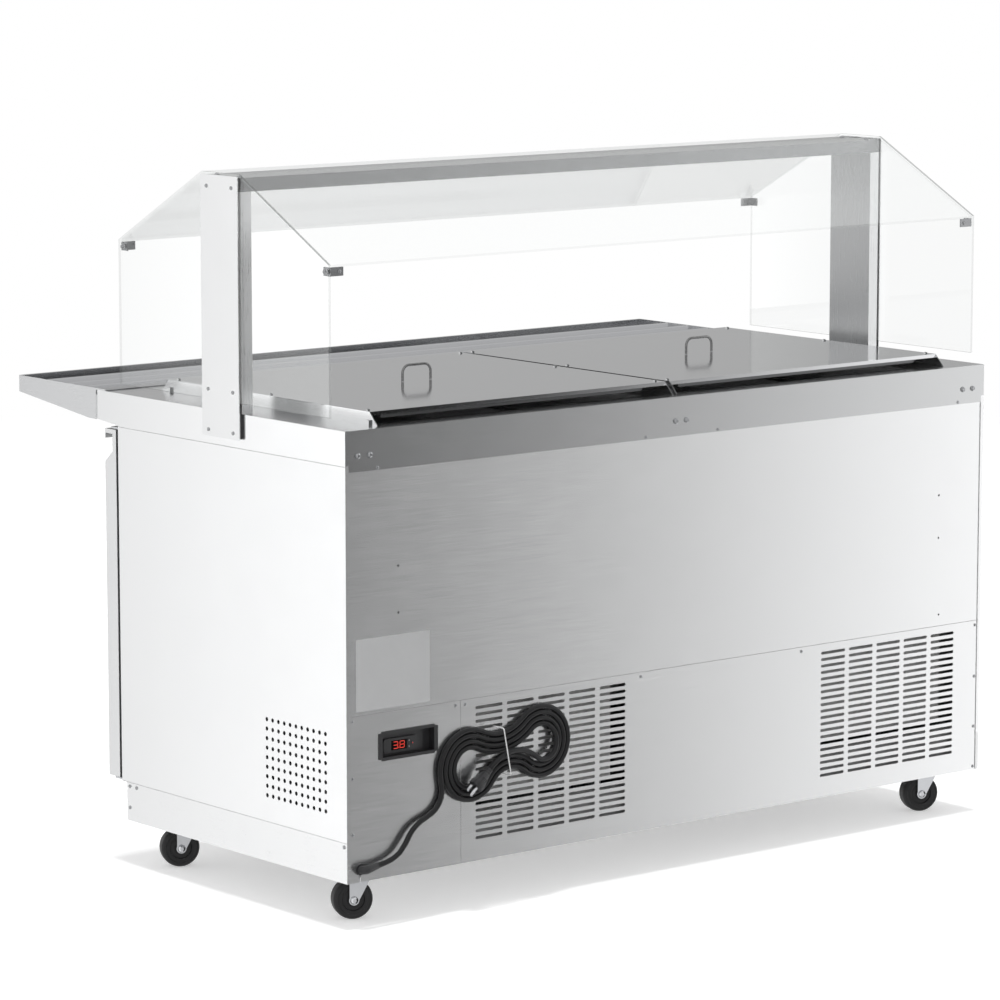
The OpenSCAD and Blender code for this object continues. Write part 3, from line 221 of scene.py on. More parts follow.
def hank_point(k):
    """Point of the hank after k rings, in millimetres."""
    right, up = hank_flat(k % LOOP_RINGS, LANE_STEP * k / LOOP_RINGS)
    depth = (LAYER_1
             + (LAYER_2 - LAYER_1) * smooth_step((k - CLIMB_START) / (CLIMB_END - CLIMB_START))
             + (LAYER_PLUG - LAYER_2) * smooth_step((k - CLIMB_END) / (HANK_END - CLIMB_END)))
    c, s = math.cos(HANK_TILT), math.sin(HANK_TILT)
    return Vector((HANK_X - right * c + up * s, PANEL_Y + depth, HANK_Z + right * s + up * c))


def flat_run(a, b):
    run = b - a
    run.y = 0
    return run.normalized()


def spline(points, steps):
    """Points of a uniform Catmull-Rom curve through the given ones."""
    out = []
    last = len(points) - 1
    for i in range(last):
        p0, p1, p2, p3 = (points[min(max(i + n, 0), last)] for n in (-1, 0, 1, 2))
        for j in range(steps):
            u = j / steps
            out.append(0.5 * (2 * p1 + (p2 - p0) * u + (2 * p0 - 5 * p1 + 4 * p2 - p3) * u ** 2
                              + (3 * p1 - p0 - 3 * p2 + p3) * u ** 3))
    out.append(points[last])
    return out


RUN_STEP = 0.05
first_run = flat_run(hank_point(0), hank_point(RUN_STEP))
last_run = flat_run(hank_point(HANK_END - RUN_STEP), hank_point(HANK_END))
relief_run = Vector((-math.cos(RELIEF_RISE), 0, math.sin(RELIEF_RISE)))
lead_start = (Vector((GROMMET_X, PANEL_Y + RELIEF_DEPTH, GROMMET_Z))
              + (RELIEF_BEND + RELIEF_LEN) * relief_run)
hank_start = hank_point(0) - CORD_D * first_run
hank_last = hank_point(HANK_END)
RING_STEPS = 4
lead = spline(
    [lead_start, lead_start + CORD_D * relief_run]
    + [Vector((GROMMET_X - a, PANEL_Y + RELIEF_DEPTH + b, GROMMET_Z + c)) for a, b, c in LEAD_ROUTE]
    + [hank_start - CORD_D * first_run, hank_start, hank_point(0)], RING_STEPS)
turns = [hank_point(k / RING_STEPS) for k in range(1, int(HANK_END * RING_STEPS) + 1)]
cord_end = hank_last + CORD_D * last_run
cord_tail = [hank_last, hank_last + 0.5 * CORD_D * last_run, cord_end]
cord_path = [p * MM for p in lead + turns + cord_tail]
CORD_SIDES = 16
cord = add_piece(
    "cord_whole", tube_mesh("cord_whole", cord_path, CORD_D / 2 * MM, CORD_SIDES),
    smooth=True)
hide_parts("power_cord", "cord_hank")

# ------------------------------------------------------------------ plug
# Local axes: along the run, across it in the hank's plane, and out from the panel

plug_frame = Matrix((last_run, last_run.cross(Vector((0, -1, 0))), Vector((0, 1, 0)))).transposed()


def at_plug(along, across, out):
    return (cord_end + plug_frame @ Vector((along, across, out))) * MM


# Along, half width, half thickness, roundness
PLUG_SECTIONS = [
    (0, 5.9, 5.9, 2), (0.6, 6.2, 6.2, 2), (4, 6.4, 6.4, 2), (4.4, 5.8, 5.8, 2), (5.6, 5.8, 5.8, 2),
    (6, 6.7, 6.7, 2), (8.6, 6.9, 6.9, 2), (9, 6.3, 6.3, 2), (10.2, 6.3, 6.3, 2), (10.6, 7.2, 7.2, 2),
    (13, 7.5, 7.5, 2.2), (16, 8.0, 7.9, 2.4), (20, 9.0, 8.6, 2.8), (25, 9.8, 9.3, 3.2),
    (29, 10.6, 9.7, 3.4), (32, 11.9, 9.9, 3.8), (34, 12.4, 10, 4), (40, 12.4, 10, 4),
    (41.4, 12.1, 9.7, 4), (42, 11.2, 8.9, 4)]
PLUG_SIDES = 40

GRIP_RIDGES = 5
GRIP_START = 21.5
GRIP_STEP = 2.6
GRIP_REACH = 5.5
GRIP_END = 0.5
GRIP_TOP = 9.2
GRIP_RISE = 0.16
# Along the run, and out from the plug's side
GRIP_PROFILE = [(-0.6, -1.2), (-0.6, -0.1), (-0.2, 0.3), (0.2, 0.3), (0.6, -0.1), (0.6, -1.2)]

BLADE_ACROSS = 6.35
BLADE_OUT = -1.8
BLADE_HALF_T = 0.75
# Along, half width
BLADE_SECTIONS = [(41, 3.2), (56.6, 3.2), (57.6, 2.4), (58, 1.8)]
PIN_OUT = 4.9
PIN_SIDES = 20
# Along, radius
PIN_SECTIONS = [(41, 2.4), (58.5, 2.4), (60, 1.9), (60.8, 1.0)]


def plug_mesh():
    bm = bmesh.new()
    rings = []
    for along, half_w, half_t, power in PLUG_SECTIONS:
        rings.append([at_plug(along, a, b) for a, b in
                      superellipse(half_w, half_t, power, PLUG_SIDES)])
    loft(bm, rings)
    # Grip ridges across both flat sides
    for side in (-1, 1):
        for i in range(GRIP_RIDGES):
            along = GRIP_START + i * GRIP_STEP
            top = GRIP_TOP + i * GRIP_RISE
            loft(bm, [[at_plug(along + a, w, side * (top + h)) for a, h in GRIP_PROFILE]
                      for w in (-GRIP_REACH, -GRIP_REACH + GRIP_END, GRIP_REACH - GRIP_END, GRIP_REACH)])
    return from_bmesh("plug_body", bm)


def prong_mesh():
    bm = bmesh.new()
    for s in (-1, 1):
        blade = []
        for along, half in BLADE_SECTIONS:
            blade.append([at_plug(along, s * BLADE_ACROSS + a, BLADE_OUT + b)
                          for a, b in ((-BLADE_HALF_T, -half), (BLADE_HALF_T, -half),
                                       (BLADE_HALF_T, half), (-BLADE_HALF_T, half))])
        loft(bm, blade)
    pin = []
    for along, r in PIN_SECTIONS:
        pin.append([at_plug(along, a, PIN_OUT + b) for a, b in superellipse(r, r, 2, PIN_SIDES)])
    loft(bm, pin)
    return from_bmesh("plug_prongs", bm)


plug_body = add_piece("plug_body", plug_mesh(), smooth=True)
plug_prongs = add_piece("plug_prongs", prong_mesh())
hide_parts("plug")

# ------------------------------------------------------------------ material helpers


class Graph:
    """Short names for building a material's or the world's nodes."""

    def __init__(self, owner):
        owner.use_nodes = True
        self.tree = owner.node_tree
        self.tree.nodes.clear()

    def node(self, kind, **settings):
        made = self.tree.nodes.new(kind)
        for key, value in settings.items():
            setattr(made, key, value)
        return made

    def link(self, source, target):
        self.tree.links.new(source, target)

    def feed(self, target, value):
        if isinstance(value, bpy.types.NodeSocket):
            self.link(value, target)
        elif value is not None:
            target.default_value = value

    def math(self, operation, a, b=None):
        made = self.node("ShaderNodeMath", operation=operation)
        self.feed(made.inputs[0], a)
        self.feed(made.inputs[1], b)
        return made.outputs[0]

    def vector(self, operation, a, b=None):
        made = self.node("ShaderNodeVectorMath", operation=operation)
        self.feed(made.inputs[0], a)
        self.feed(made.inputs[1], b)
        return made.outputs["Value" if operation in ("DOT_PRODUCT", "LENGTH") else "Vector"]

    def scale(self, vector, factors):
        return self.vector("MULTIPLY", vector, factors)

    def spread(self, value, low, high, to_low=0.0, to_high=1.0):
        made = self.node("ShaderNodeMapRange", clamp=True)
        for socket, number in zip(made.inputs, (value, low, high, to_low, to_high)):
            self.feed(socket, number)
        return made.outputs[0]

    def noise(self, vector, scale, detail=3.0, roughness=0.55):
        made = self.node("ShaderNodeTexNoise")
        self.link(vector, made.inputs["Vector"])
        made.inputs["Scale"].default_value = scale
        made.inputs["Detail"].default_value = detail
        made.inputs["Roughness"].default_value = roughness
        return made.outputs["Fac"]

    def ramp(self, value, stops):
        """Level by value, straight between the stops."""
        made = self.node("ShaderNodeValToRGB")
        points = made.color_ramp.elements
        while len(points) < len(stops):
            points.new(0.5)
        for point, (place, level) in zip(points, stops):
            point.position = place
            point.color = (level, level, level, 1.0)
        self.link(value, made.inputs[0])
        return made.outputs[0]

    def mix(self, factor, a, b):
        made = self.node("ShaderNodeMix", data_type="RGBA")
        self.feed(made.inputs[0], factor)
        self.feed(made.inputs[6], a)
        self.feed(made.inputs[7], b)
        return made.outputs[2]

    def mix_vector(self, factor, a, b):
        made = self.node("ShaderNodeMix", data_type="VECTOR")
        self.feed(made.inputs[0], factor)
        self.feed(made.inputs[4], a)
        self.feed(made.inputs[5], b)
        return made.outputs[1]

    def bump(self, height, strength, distance):
        made = self.node("ShaderNodeBump")
        made.inputs["Strength"].default_value = strength
        made.inputs["Distance"].default_value = distance
        self.link(height, made.inputs["Height"])
        return made.outputs[0]

    def cover(self, surface, where, colour, roughness):
        """Puts a dull coat over a surface where the given mask is 1."""
        coat = principled(self, colour, roughness)
        made = self.node("ShaderNodeMixShader")
        self.link(where, made.inputs[0])
        self.link(surface, made.inputs[1])
        self.link(coat.outputs[0], made.inputs[2])
        return made.outputs[0]

    def output(self, surface):
        made = self.node("ShaderNodeOutputMaterial")
        self.link(surface, made.inputs["Surface"])


def tone(rgb, factor=1.0):
    return (rgb[0] * factor, rgb[1] * factor, rgb[2] * factor, 1.0)


def principled(graph, colour, roughness, metallic=0.0, **constants):
    shader = graph.node("ShaderNodeBsdfPrincipled")
    graph.feed(shader.inputs["Base Color"], colour)
    graph.feed(shader.inputs["Roughness"], roughness)
    shader.inputs["Metallic"].default_value = metallic
    for key, value in constants.items():
        shader.inputs[key.replace("_", " ")].default_value = value
    return shader


TAPE_RGB = (0.74, 0.74, 0.74)
# Pale tone of the sill's up-facing flange: painted light.
FLANGE_LIT_RGB = (0.85, 0.85, 0.85)
SILL_HALF = 0.735
GRAIN_ALONG = 14.0
GRAIN_ACROSS = 900.0
FACES = 0.7                 # share of an axis in a normal that faces along it
GLASS_MIRROR = 0.035
# Grey of the glass's cut edges: partly their own tone, partly painted shade.
GLASS_EDGE = (0.13, 0.14, 0.135)
DUST_RGB = (0.45, 0.44, 0.42)
CLEAR_RGB = (0.992, 0.995, 0.994)


def brushed(name, rgb, roughness, grain=0.014, bump=0.02, clouds=0.006, end_painted_rgb=None,
            top_painted_rgb=None, upright=False, above=None, outer_tape=None, sill_shade_rgb=None):
    """Brushed stainless steel; end and top faces may take a painted tone: painted light where it is
    paler, painted shade where it is darker.

    above is a height and the darker tone of what rises over it, painted shade on the lid's wire handles;
    outer_tape the distance from the middle where a pale mounting tape covers the steel; and
    sill_shade_rgb the painted shade of the sheet that faces back inside the casing, whose up-facing
    flange is painted light."""
    mat = bpy.data.materials.new(name)
    g = Graph(mat)
    coord = g.node("ShaderNodeTexCoord")
    place = coord.outputs["Object"]
    normal = g.vector("ABSOLUTE", coord.outputs["Normal"])
    parts = g.node("ShaderNodeSeparateXYZ")
    g.link(normal, parts.inputs[0])
    faces_end = g.math("GREATER_THAN", parts.outputs[0], FACES)
    along_x = g.scale(place, (GRAIN_ALONG, GRAIN_ACROSS, GRAIN_ACROSS))
    along_y = g.scale(place, (GRAIN_ACROSS, GRAIN_ALONG, GRAIN_ACROSS))
    grained = g.mix_vector(faces_end, along_x, along_y)
    if upright:
        grained = g.scale(place, (GRAIN_ACROSS, GRAIN_ACROSS, GRAIN_ALONG))
    line = g.noise(grained, 1.0, 4.0, 0.6)
    cloud = g.noise(place, 5.0, 4.0, 0.6)
    smudge = g.noise(place, 17.0, 5.0, 0.7)
    shade = g.math("ADD", g.spread(line, 0.3, 0.7, 1 - grain, 1 + grain),
                   g.spread(cloud, 0.3, 0.7, -clouds, clouds))
    colour = g.node("ShaderNodeVectorMath", operation="SCALE")
    # End and top faces take a painted tone here: painted light where it is paler, painted shade where it
    # is darker.
    base = g.mix(faces_end, tone(rgb), tone(end_painted_rgb or rgb))
    faces_up = g.math("GREATER_THAN", parts.outputs[2], FACES)
    base = g.mix(faces_up, base, tone(top_painted_rgb or rgb))
    if above or outer_tape or sill_shade_rgb:
        spot = g.node("ShaderNodeSeparateXYZ")
        g.link(place, spot.inputs[0])
        from_middle = g.math("ABSOLUTE", spot.outputs[0])
    # Over the given height the steel takes a darker tone: painted shade.
    if above:
        base = g.mix(g.math("GREATER_THAN", spot.outputs[2], above[0]), base, tone((above[1],) * 3))
    g.link(base, colour.inputs[0])
    g.link(shade, colour.inputs["Scale"])
    rough = g.math("ADD", g.spread(line, 0.3, 0.7, roughness - 0.015, roughness + 0.015),
                   g.spread(smudge, 0.4, 0.8, 0.0, 0.012))
    shader = principled(g, colour.outputs["Vector"], rough, 1.0)
    g.link(g.bump(line, bump, 0.00005), shader.inputs["Normal"])
    surface = shader.outputs[0]
    if outer_tape:
        surface = g.cover(surface, g.math("GREATER_THAN", from_middle, outer_tape),
                          tone(TAPE_RGB), 0.6)
    # Inside the casing the sill is painted dark, painted shade, and its up-facing flange pale, painted
    # light.
    if sill_shade_rgb:
        inside = g.math("LESS_THAN", from_middle, SILL_HALF)
        dull = g.mix(faces_up, tone(sill_shade_rgb), tone(FLANGE_LIT_RGB))
        surface = g.cover(surface, inside, dull, 0.55)
    g.output(surface)
    return mat


def coated(name, rgb, roughness, texture_scale=900.0, bump=0.15, spots=0.06, dust=0.0,
           metallic=0.0, specular=0.5):
    """Moulded or painted surface: fine grain, slight colour drift, and dust on what faces up."""
    mat = bpy.data.materials.new(name)
    g = Graph(mat)
    coord = g.node("ShaderNodeTexCoord")
    place = coord.outputs["Object"]
    fine = g.noise(place, texture_scale, 3.0, 0.6)
    drift = g.noise(place, 24.0, 4.0, 0.6)
    colour = g.mix(g.spread(drift, 0.3, 0.7), tone(rgb, 1 - spots), tone(rgb, 1 + spots))
    if dust:
        parts = g.node("ShaderNodeSeparateXYZ")
        g.link(coord.outputs["Normal"], parts.inputs[0])
        upward = g.spread(parts.outputs[2], 0.2, 1.0, 0.0, dust)
        colour = g.mix(g.math("MULTIPLY", upward, g.spread(drift, 0.3, 0.7)), colour,
                       tone(DUST_RGB))
    rough = g.math("ADD", g.spread(drift, 0.3, 0.7, roughness - 0.05, roughness + 0.05),
                   g.spread(fine, 0.3, 0.7, -0.03, 0.03))
    shader = principled(g, colour, rough, metallic, Specular_IOR_Level=specular)
    g.link(g.bump(fine, bump, 0.00012), shader.inputs["Normal"])
    g.output(shader.outputs[0])
    return mat


def glass(name, rgb, across, plain_edge, sloping_edge):
    """Clear toughened glass: faint gloss and wipe marks on its faces, and grey cut edges, partly their
    own tone and partly painted shade.
    """
    mat = bpy.data.materials.new(name)
    g = Graph(mat)
    coord = g.node("ShaderNodeTexCoord")
    smear = g.noise(g.scale(coord.outputs["Object"], (3, 11, 8)), 1.0, 5.0, 0.65)
    gloss = principled(g, tone(rgb), g.spread(smear, 0.45, 0.85, 0.0, 0.06), 1.0)
    clear = g.node("ShaderNodeBsdfTransparent")
    clear.inputs[0].default_value = tone(CLEAR_RGB)
    slant = g.node("ShaderNodeLayerWeight")
    slant.inputs["Blend"].default_value = 0.5
    path = g.node("ShaderNodeLightPath")
    soft_rays = g.math("MAXIMUM", path.outputs["Is Shadow Ray"], path.outputs["Is Diffuse Ray"])
    share = g.math("ADD", GLASS_MIRROR, g.math("POWER", slant.outputs["Facing"], 5.0))
    faces = g.node("ShaderNodeMixShader")
    g.link(g.math("MULTIPLY", share, g.math("SUBTRACT", 1.0, soft_rays)), faces.inputs[0])
    g.link(clear.outputs[0], faces.inputs[1])
    g.link(gloss.outputs[0], faces.inputs[2])
    fine = g.noise(coord.outputs["Object"], 900.0, 2.0)
    parts = g.node("ShaderNodeSeparateXYZ")
    g.link(coord.outputs["Normal"], parts.inputs[0])
    # Edges that face up take more of the grey: painted shade.
    slopes = g.math("GREATER_THAN", parts.outputs[2], 0.3)
    cut = principled(g, g.mix(fine, tone(GLASS_EDGE, 0.9), tone(GLASS_EDGE, 1.1)), 0.25)
    edges = g.node("ShaderNodeMixShader")
    g.link(g.spread(slopes, 0.0, 1.0, plain_edge, sloping_edge), edges.inputs[0])
    g.link(clear.outputs[0], edges.inputs[1])
    g.link(cut.outputs[0], edges.inputs[2])
    facing = g.math("ABSOLUTE", g.vector("DOT_PRODUCT", coord.outputs["Normal"], across))
    choose = g.node("ShaderNodeMixShader")
    g.link(g.math("GREATER_THAN", facing, FACES), choose.inputs[0])
    g.link(edges.outputs[0], choose.inputs[1])
    g.link(faces.outputs[0], choose.inputs[2])
    g.output(choose.outputs[0])
    return mat


def glowing(name, rgb, strength):
    """Lit segments behind a smoked window, a little uneven."""
    mat = bpy.data.materials.new(name)
    g = Graph(mat)
    coord = g.node("ShaderNodeTexCoord")
    uneven = g.noise(coord.outputs["Object"], 700.0, 2.0)
    shader = principled(g, tone(rgb, 0.4), 0.3)
    g.link(g.mix(uneven, tone(rgb, 0.8), tone(rgb, 1.0)), shader.inputs["Emission Color"])
    shader.inputs["Emission Strength"].default_value = strength
    g.output(shader.outputs[0])
    return mat


STEEL = brushed("steel_panel", (0.80, 0.805, 0.81), 0.245)
# The same steel with its end faces painted paler: painted light.
STEEL_END_LIT = brushed("steel_end", (0.80, 0.805, 0.81), 0.24, end_painted_rgb=(0.885, 0.89, 0.895))
# End faces painted paler, painted light; inside the casing the sill takes painted shade and its flange
# painted light.
STEEL_BASE = brushed("steel_base", (0.72, 0.725, 0.73), 0.26, end_painted_rgb=(0.885, 0.89, 0.895),
                     sill_shade_rgb=(0.30, 0.30, 0.305))
# The rim is painted darker than the panels, painted shade for its darker reflection; its ends and top
# are painted paler, painted light.
STEEL_RIM = brushed("steel_rim", (0.55, 0.555, 0.56), 0.22, end_painted_rgb=(0.86, 0.865, 0.87),
                    top_painted_rgb=(0.58, 0.585, 0.59))
# End faces painted a touch paler: painted light.
STEEL_COVER = brushed("steel_cover", (0.80, 0.805, 0.81), 0.24, end_painted_rgb=(0.82, 0.825, 0.83),
                      upright=True)
# Faces of the posts that point along the counter are painted dark, painted shade; the outer ones lie
# under the pale tape.
STEEL_POST = brushed("steel_post", (0.78, 0.785, 0.79), 0.28, end_painted_rgb=(0.46, 0.465, 0.47),
                     upright=True, outer_tape=0.7495)
# The beam is painted dark on its sides, painted shade, and pale on top, painted light.
STEEL_BEAM = brushed("steel_beam", (0.29, 0.295, 0.30), 0.22, top_painted_rgb=(0.70, 0.705, 0.71))
# Over the lid sheet the wire handles are painted darker: painted shade.
STEEL_LID = brushed("steel_lid", (0.62, 0.625, 0.635), 0.10, bump=0.01, above=(0.8725, 0.24))
# The lid frames are painted near black, painted shade under the lids, and their end cheeks pale, painted
# light.
STEEL_LID_FRAME = brushed("steel_lid_frame", (0.17, 0.172, 0.176), 0.22, end_painted_rgb=(0.80, 0.805, 0.81))
# The tray is painted darker: a painted reflection of the dark surround.
STEEL_TRAY = brushed("steel_tray", (0.38, 0.385, 0.395), 0.20)
# The tops of the tray's end plates are painted near black: a painted dark reflection.
STEEL_TRAY_END = brushed("steel_tray_end", (0.70, 0.705, 0.715), 0.26, top_painted_rgb=(0.08, 0.08, 0.085))
STEEL_DEEP = brushed("steel_inner", (0.68, 0.685, 0.69), 0.25)
ZINC = coated("zinc_plate", (0.62, 0.63, 0.65), 0.16, 500.0, 0.06, 0.06, metallic=1.0)
FIXING = coated("screw_steel", (0.38, 0.385, 0.395), 0.20, 500.0, 0.06, 0.06, metallic=1.0)
SEAM_PALE = coated("seam_pale", (0.42, 0.42, 0.425), 0.50, 500.0, 0.06, 0.06)
SEAM = coated("seam_shade", (0.30, 0.30, 0.305), 0.50, 500.0, 0.06, 0.06)
DARK_ZINC = coated("clip_steel", (0.34, 0.345, 0.355), 0.30, 500.0, 0.10, 0.08, metallic=1.0)
RUBBER = coated("tyre_rubber", (0.012, 0.012, 0.013), 0.42, 700.0, 0.15, 0.15, dust=0.05,
                specular=0.4)
CORD_SKIN = coated("cord_skin", (0.010, 0.010, 0.011), 0.40, 1500.0, 0.12, 0.10, specular=0.3)
BLACK = coated("black_plastic", (0.020, 0.020, 0.022), 0.40, 1100.0, 0.30, 0.12)
GASKET = coated("gasket", (0.20, 0.205, 0.21), 0.55, 600.0, 0.20, 0.08)
LINING = coated("foam_lining", (0.74, 0.745, 0.75), 0.38, 260.0, 0.20, 0.03)
COATED_WIRE = coated("shelf_coating", (0.78, 0.78, 0.76), 0.35, 500.0, 0.15, 0.04)
PAINT = coated("machine_paint", (0.016, 0.016, 0.018), 0.35, 600.0, 0.20, 0.15, dust=0.25)
FINS = coated("fin_metal", (0.58, 0.59, 0.60), 0.35, 900.0, 0.10, 0.10, dust=0.10, metallic=1.0)
KEY = coated("key_plastic", (0.05, 0.05, 0.054), 0.35, 900.0, 0.20, 0.10)
TIE = coated("tie_plastic", (0.82, 0.82, 0.82), 0.40, 800.0, 0.15, 0.03)
LABEL = coated("label_vinyl", (0.53, 0.535, 0.54), 0.50, 1300.0, 0.08, 0.02)
SLOPE = math.radians(28.2)
END_GLASS = glass("end_pane", (0.985, 0.992, 0.99), (1.0, 0.0, 0.0), 0.15, 0.60)
BACK_GLASS = glass("back_pane", (0.985, 0.992, 0.99), (0.0, math.sin(SLOPE), math.cos(SLOPE)),
                   0.07, 0.20)
FRONT_GLASS = glass("front_pane", (0.985, 0.992, 0.99), (0.0, -math.sin(SLOPE), math.cos(SLOPE)),
                    0.05, 0.10)
DIGITS = glowing("digit_red", (0.90, 0.05, 0.03), 0.9)
WINDOW = coated("smoked_window", (0.008, 0.006, 0.006), 0.12, 900.0, 0.02, 0.10)
FILTER = coated("filter_mat", (0.42, 0.42, 0.42), 0.8, 1500.0, 0.3, 0.08)
MARK = coated("key_mark", (0.60, 0.60, 0.60), 0.45, 900.0, 0.05, 0.05)

FINISHES = {
    STEEL: "back_panel controller_panel grille_panel front_frame door_left door_right "
           "door_left_liner door_right_liner",
    STEEL_END_LIT: "end_panel_vented end_panel_plain",
    STEEL_COVER: "post_covers",
    STEEL_BASE: "base_frame kick_plate",
    STEEL_RIM: "top_surround",
    STEEL_POST: "posts",
    STEEL_BEAM: "guard_beam",
    STEEL_LID: "lid_left_top lid_right_top",
    STEEL_LID_FRAME: "lid_left_frame lid_right_frame",
    STEEL_TRAY: "tray_shelf",
    STEEL_TRAY_END: "tray_brackets",
    STEEL_DEEP: "well_liner center_bar food_pans",
    ZINC: "caster_plates fork_1 fork_2 fork_3 fork_4 door_hinges",
    FIXING: "bolts screws",
    DARK_ZINC: "glass_clips",
    RUBBER: "wheel_1 wheel_2 wheel_3 wheel_4",
    BLACK: "glass_spacers controller_housing cord_grommet condenser_fan",
    GASKET: "door_left_gasket door_right_gasket",
    LINING: "insulated_body",
    COATED_WIRE: "wire_shelves",
    PAINT: "compressor fan_shroud",
    FINS: "condenser_coil evaporator",
    KEY: "key_up key_down key_set",
    TIE: "hank_tie",
    END_GLASS: "end_glass",
    BACK_GLASS: "slope_glass_back",
    FRONT_GLASS: "slope_glass_front",
    CORD_SKIN: "power_cord cord_hank plug",
}
for material, names in FINISHES.items():
    for name in names.split():
        for material_slot in NODES[name].material_slots:
            material_slot.material = material
cord.data.materials.append(CORD_SKIN)
plug_body.data.materials.append(BLACK)
plug_prongs.data.materials.append(ZINC)

# ------------------------------------------------------------------ label, display and small marks
# All places in millimetres; the back panels face +Y

LABEL_X = (570.5, 728.5)
LABEL_Z = (372.5, 495.5)
LABEL_T = 0.25
MARK_EDGE = 0.02


def rounded_rectangle(x0, x1, z0, z1, radius, steps=5):
    """Outline in the plane of the back panels, with round corners."""
    points = []
    for cx, cz, start in ((x1 - radius, z1 - radius, 0), (x0 + radius, z1 - radius, 90),
                          (x0 + radius, z0 + radius, 180), (x1 - radius, z0 + radius, 270)):
        for i in range(steps + 1):
            a = math.radians(start + 90 * i / steps)
            points.append((cx + radius * math.cos(a), cz + radius * math.sin(a)))
    return points


def raised_plate(bm, outline, y0, y1, edge):
    """A plate on the back face whose front edge is broken by a small slope."""
    cx = sum(x for x, z in outline) / len(outline)
    cz = sum(z for x, z in outline) / len(outline)
    reach = max(math.hypot(x - cx, z - cz) for x, z in outline)
    shrink = 1 - edge / reach
    inner = [(cx + (x - cx) * shrink, cz + (z - cz) * shrink) for x, z in outline]
    loft(bm, [[Vector((x, y, z)) * MM for x, z in ring]
              for ring, y in ((outline, y0), (outline, y1 - edge), (inner, y1))])


def plates(name, outlines, y0, y1, edge, material, body="cabinet"):
    bm = bmesh.new()
    for outline in outlines:
        raised_plate(bm, outline, y0, y1, edge)
    return add_piece(name, from_bmesh(name, bm), body, material)


plates("bare_label", [rounded_rectangle(*LABEL_X, *LABEL_Z, 2.5)], PANEL_Y, PANEL_Y + LABEL_T,
       0.08, LABEL)

BEZEL_X = 627.95
BEZEL_Z = 303.9
DISPLAY_X = BEZEL_X + 3
DISPLAY_W = 33.4
DISPLAY_H = 16.4
POCKET_Y = 478.8
WINDOW_Y = 479.3
plates("display_window",
       [rounded_rectangle(DISPLAY_X - DISPLAY_W / 2, DISPLAY_X + DISPLAY_W / 2,
                          BEZEL_Z - DISPLAY_H / 2, BEZEL_Z + DISPLAY_H / 2, 0.8)],
       POCKET_Y, WINDOW_Y, 0.15, WINDOW)

DIGIT_W = 10.6
DIGIT_H = 12.6
DIGIT_LEFTS = {"3": 643.6, "8": 629.6}
POINT_X = 631.3
POINT_R = 0.9
BAR = 1.25
BAR_GAP = 0.5
# Lit bars of each digit: top, upper left, upper right, middle, lower left, lower right, bottom
DIGIT_BARS = {"3": "1011011", "8": "1111111"}


def bar_outline(x, z, length, upright):
    """Six-sided bar centred on x, z; x runs to the viewer's right."""
    h, b = length / 2, BAR / 2
    flat = [(-h, 0), (-h + b, b), (h - b, b), (h, 0), (h - b, -b), (-h + b, -b)]
    return [(x + (q if upright else p), z + (p if upright else q)) for p, q in flat]


def digit_outlines(left_x, low_z, bars):
    """Bars of a digit whose left side, seen from behind the counter, is at left_x."""
    w, h = DIGIT_W - BAR, (DIGIT_H - BAR) / 2
    middle = left_x - DIGIT_W / 2
    near, far = left_x - BAR / 2, left_x - DIGIT_W + BAR / 2
    low, mid, high = low_z + BAR / 2, low_z + BAR / 2 + h, low_z + BAR / 2 + 2 * h
    places = [(middle, high, w, False), (near, mid + h / 2, h, True), (far, mid + h / 2, h, True),
              (middle, mid, w, False), (near, low + h / 2, h, True), (far, low + h / 2, h, True),
              (middle, low, w, False)]
    return [bar_outline(x, z, length - BAR_GAP, upright)
            for (x, z, length, upright), lit in zip(places, bars) if lit == "1"]


def disc(x, z, radius, count=20):
    return [(x + radius * math.cos(2 * math.pi * i / count),
             z + radius * math.sin(2 * math.pi * i / count)) for i in range(count)]


DIGIT_Z = BEZEL_Z - DIGIT_H / 2
lit = []
for digit, left_x in DIGIT_LEFTS.items():
    lit += digit_outlines(left_x, DIGIT_Z, DIGIT_BARS[digit])
lit.append(disc(POINT_X, DIGIT_Z + 1.0, POINT_R))
plates("display_digits", lit, WINDOW_Y, WINDOW_Y + 0.06, MARK_EDGE, DIGITS)

KEY_FACE_Y = 480.4
KEY_UP = (609.95, 309.2)
KEY_DOWN = (609.95, 298.6)
KEY_SET = (602.45, 303.9)
ARROW_HALF = 1.2
DOT_R = 0.8
MARK_TOP_Y = KEY_FACE_Y + 0.05


def triangle(x, z, size, way):
    """Arrow head that points up where way is 1 and down where it is -1."""
    low, high = z - way * size * 0.6, z + way * size * 0.8
    return [(x - size, low), (x, high), (x + size, low)]


plates("mark_up", [triangle(*KEY_UP, ARROW_HALF, 1)], KEY_FACE_Y, MARK_TOP_Y, MARK_EDGE, MARK,
       "key_up")
plates("mark_down", [triangle(*KEY_DOWN, ARROW_HALF, -1)], KEY_FACE_Y, MARK_TOP_Y, MARK_EDGE, MARK,
       "key_down")
plates("mark_set", [disc(*KEY_SET, DOT_R)], KEY_FACE_Y, MARK_TOP_Y, MARK_EDGE, DIGITS,
       "key_set")

# A grey ribbed mat behind each grille, down to the last three rows of slots, for the grey seen through
# them; that it is a dust filter is a guess
FILTER_Y = (466.0, 470.0)
FILTER_Z = (184.5, 356.0)
FILTER_HALF = 162.0
FILTER_SHIFT = 12.0
GRILLE_X = (301.0, -511.5)
FILTER_RIB = 9.0
FILTER_FOLD = 1.2


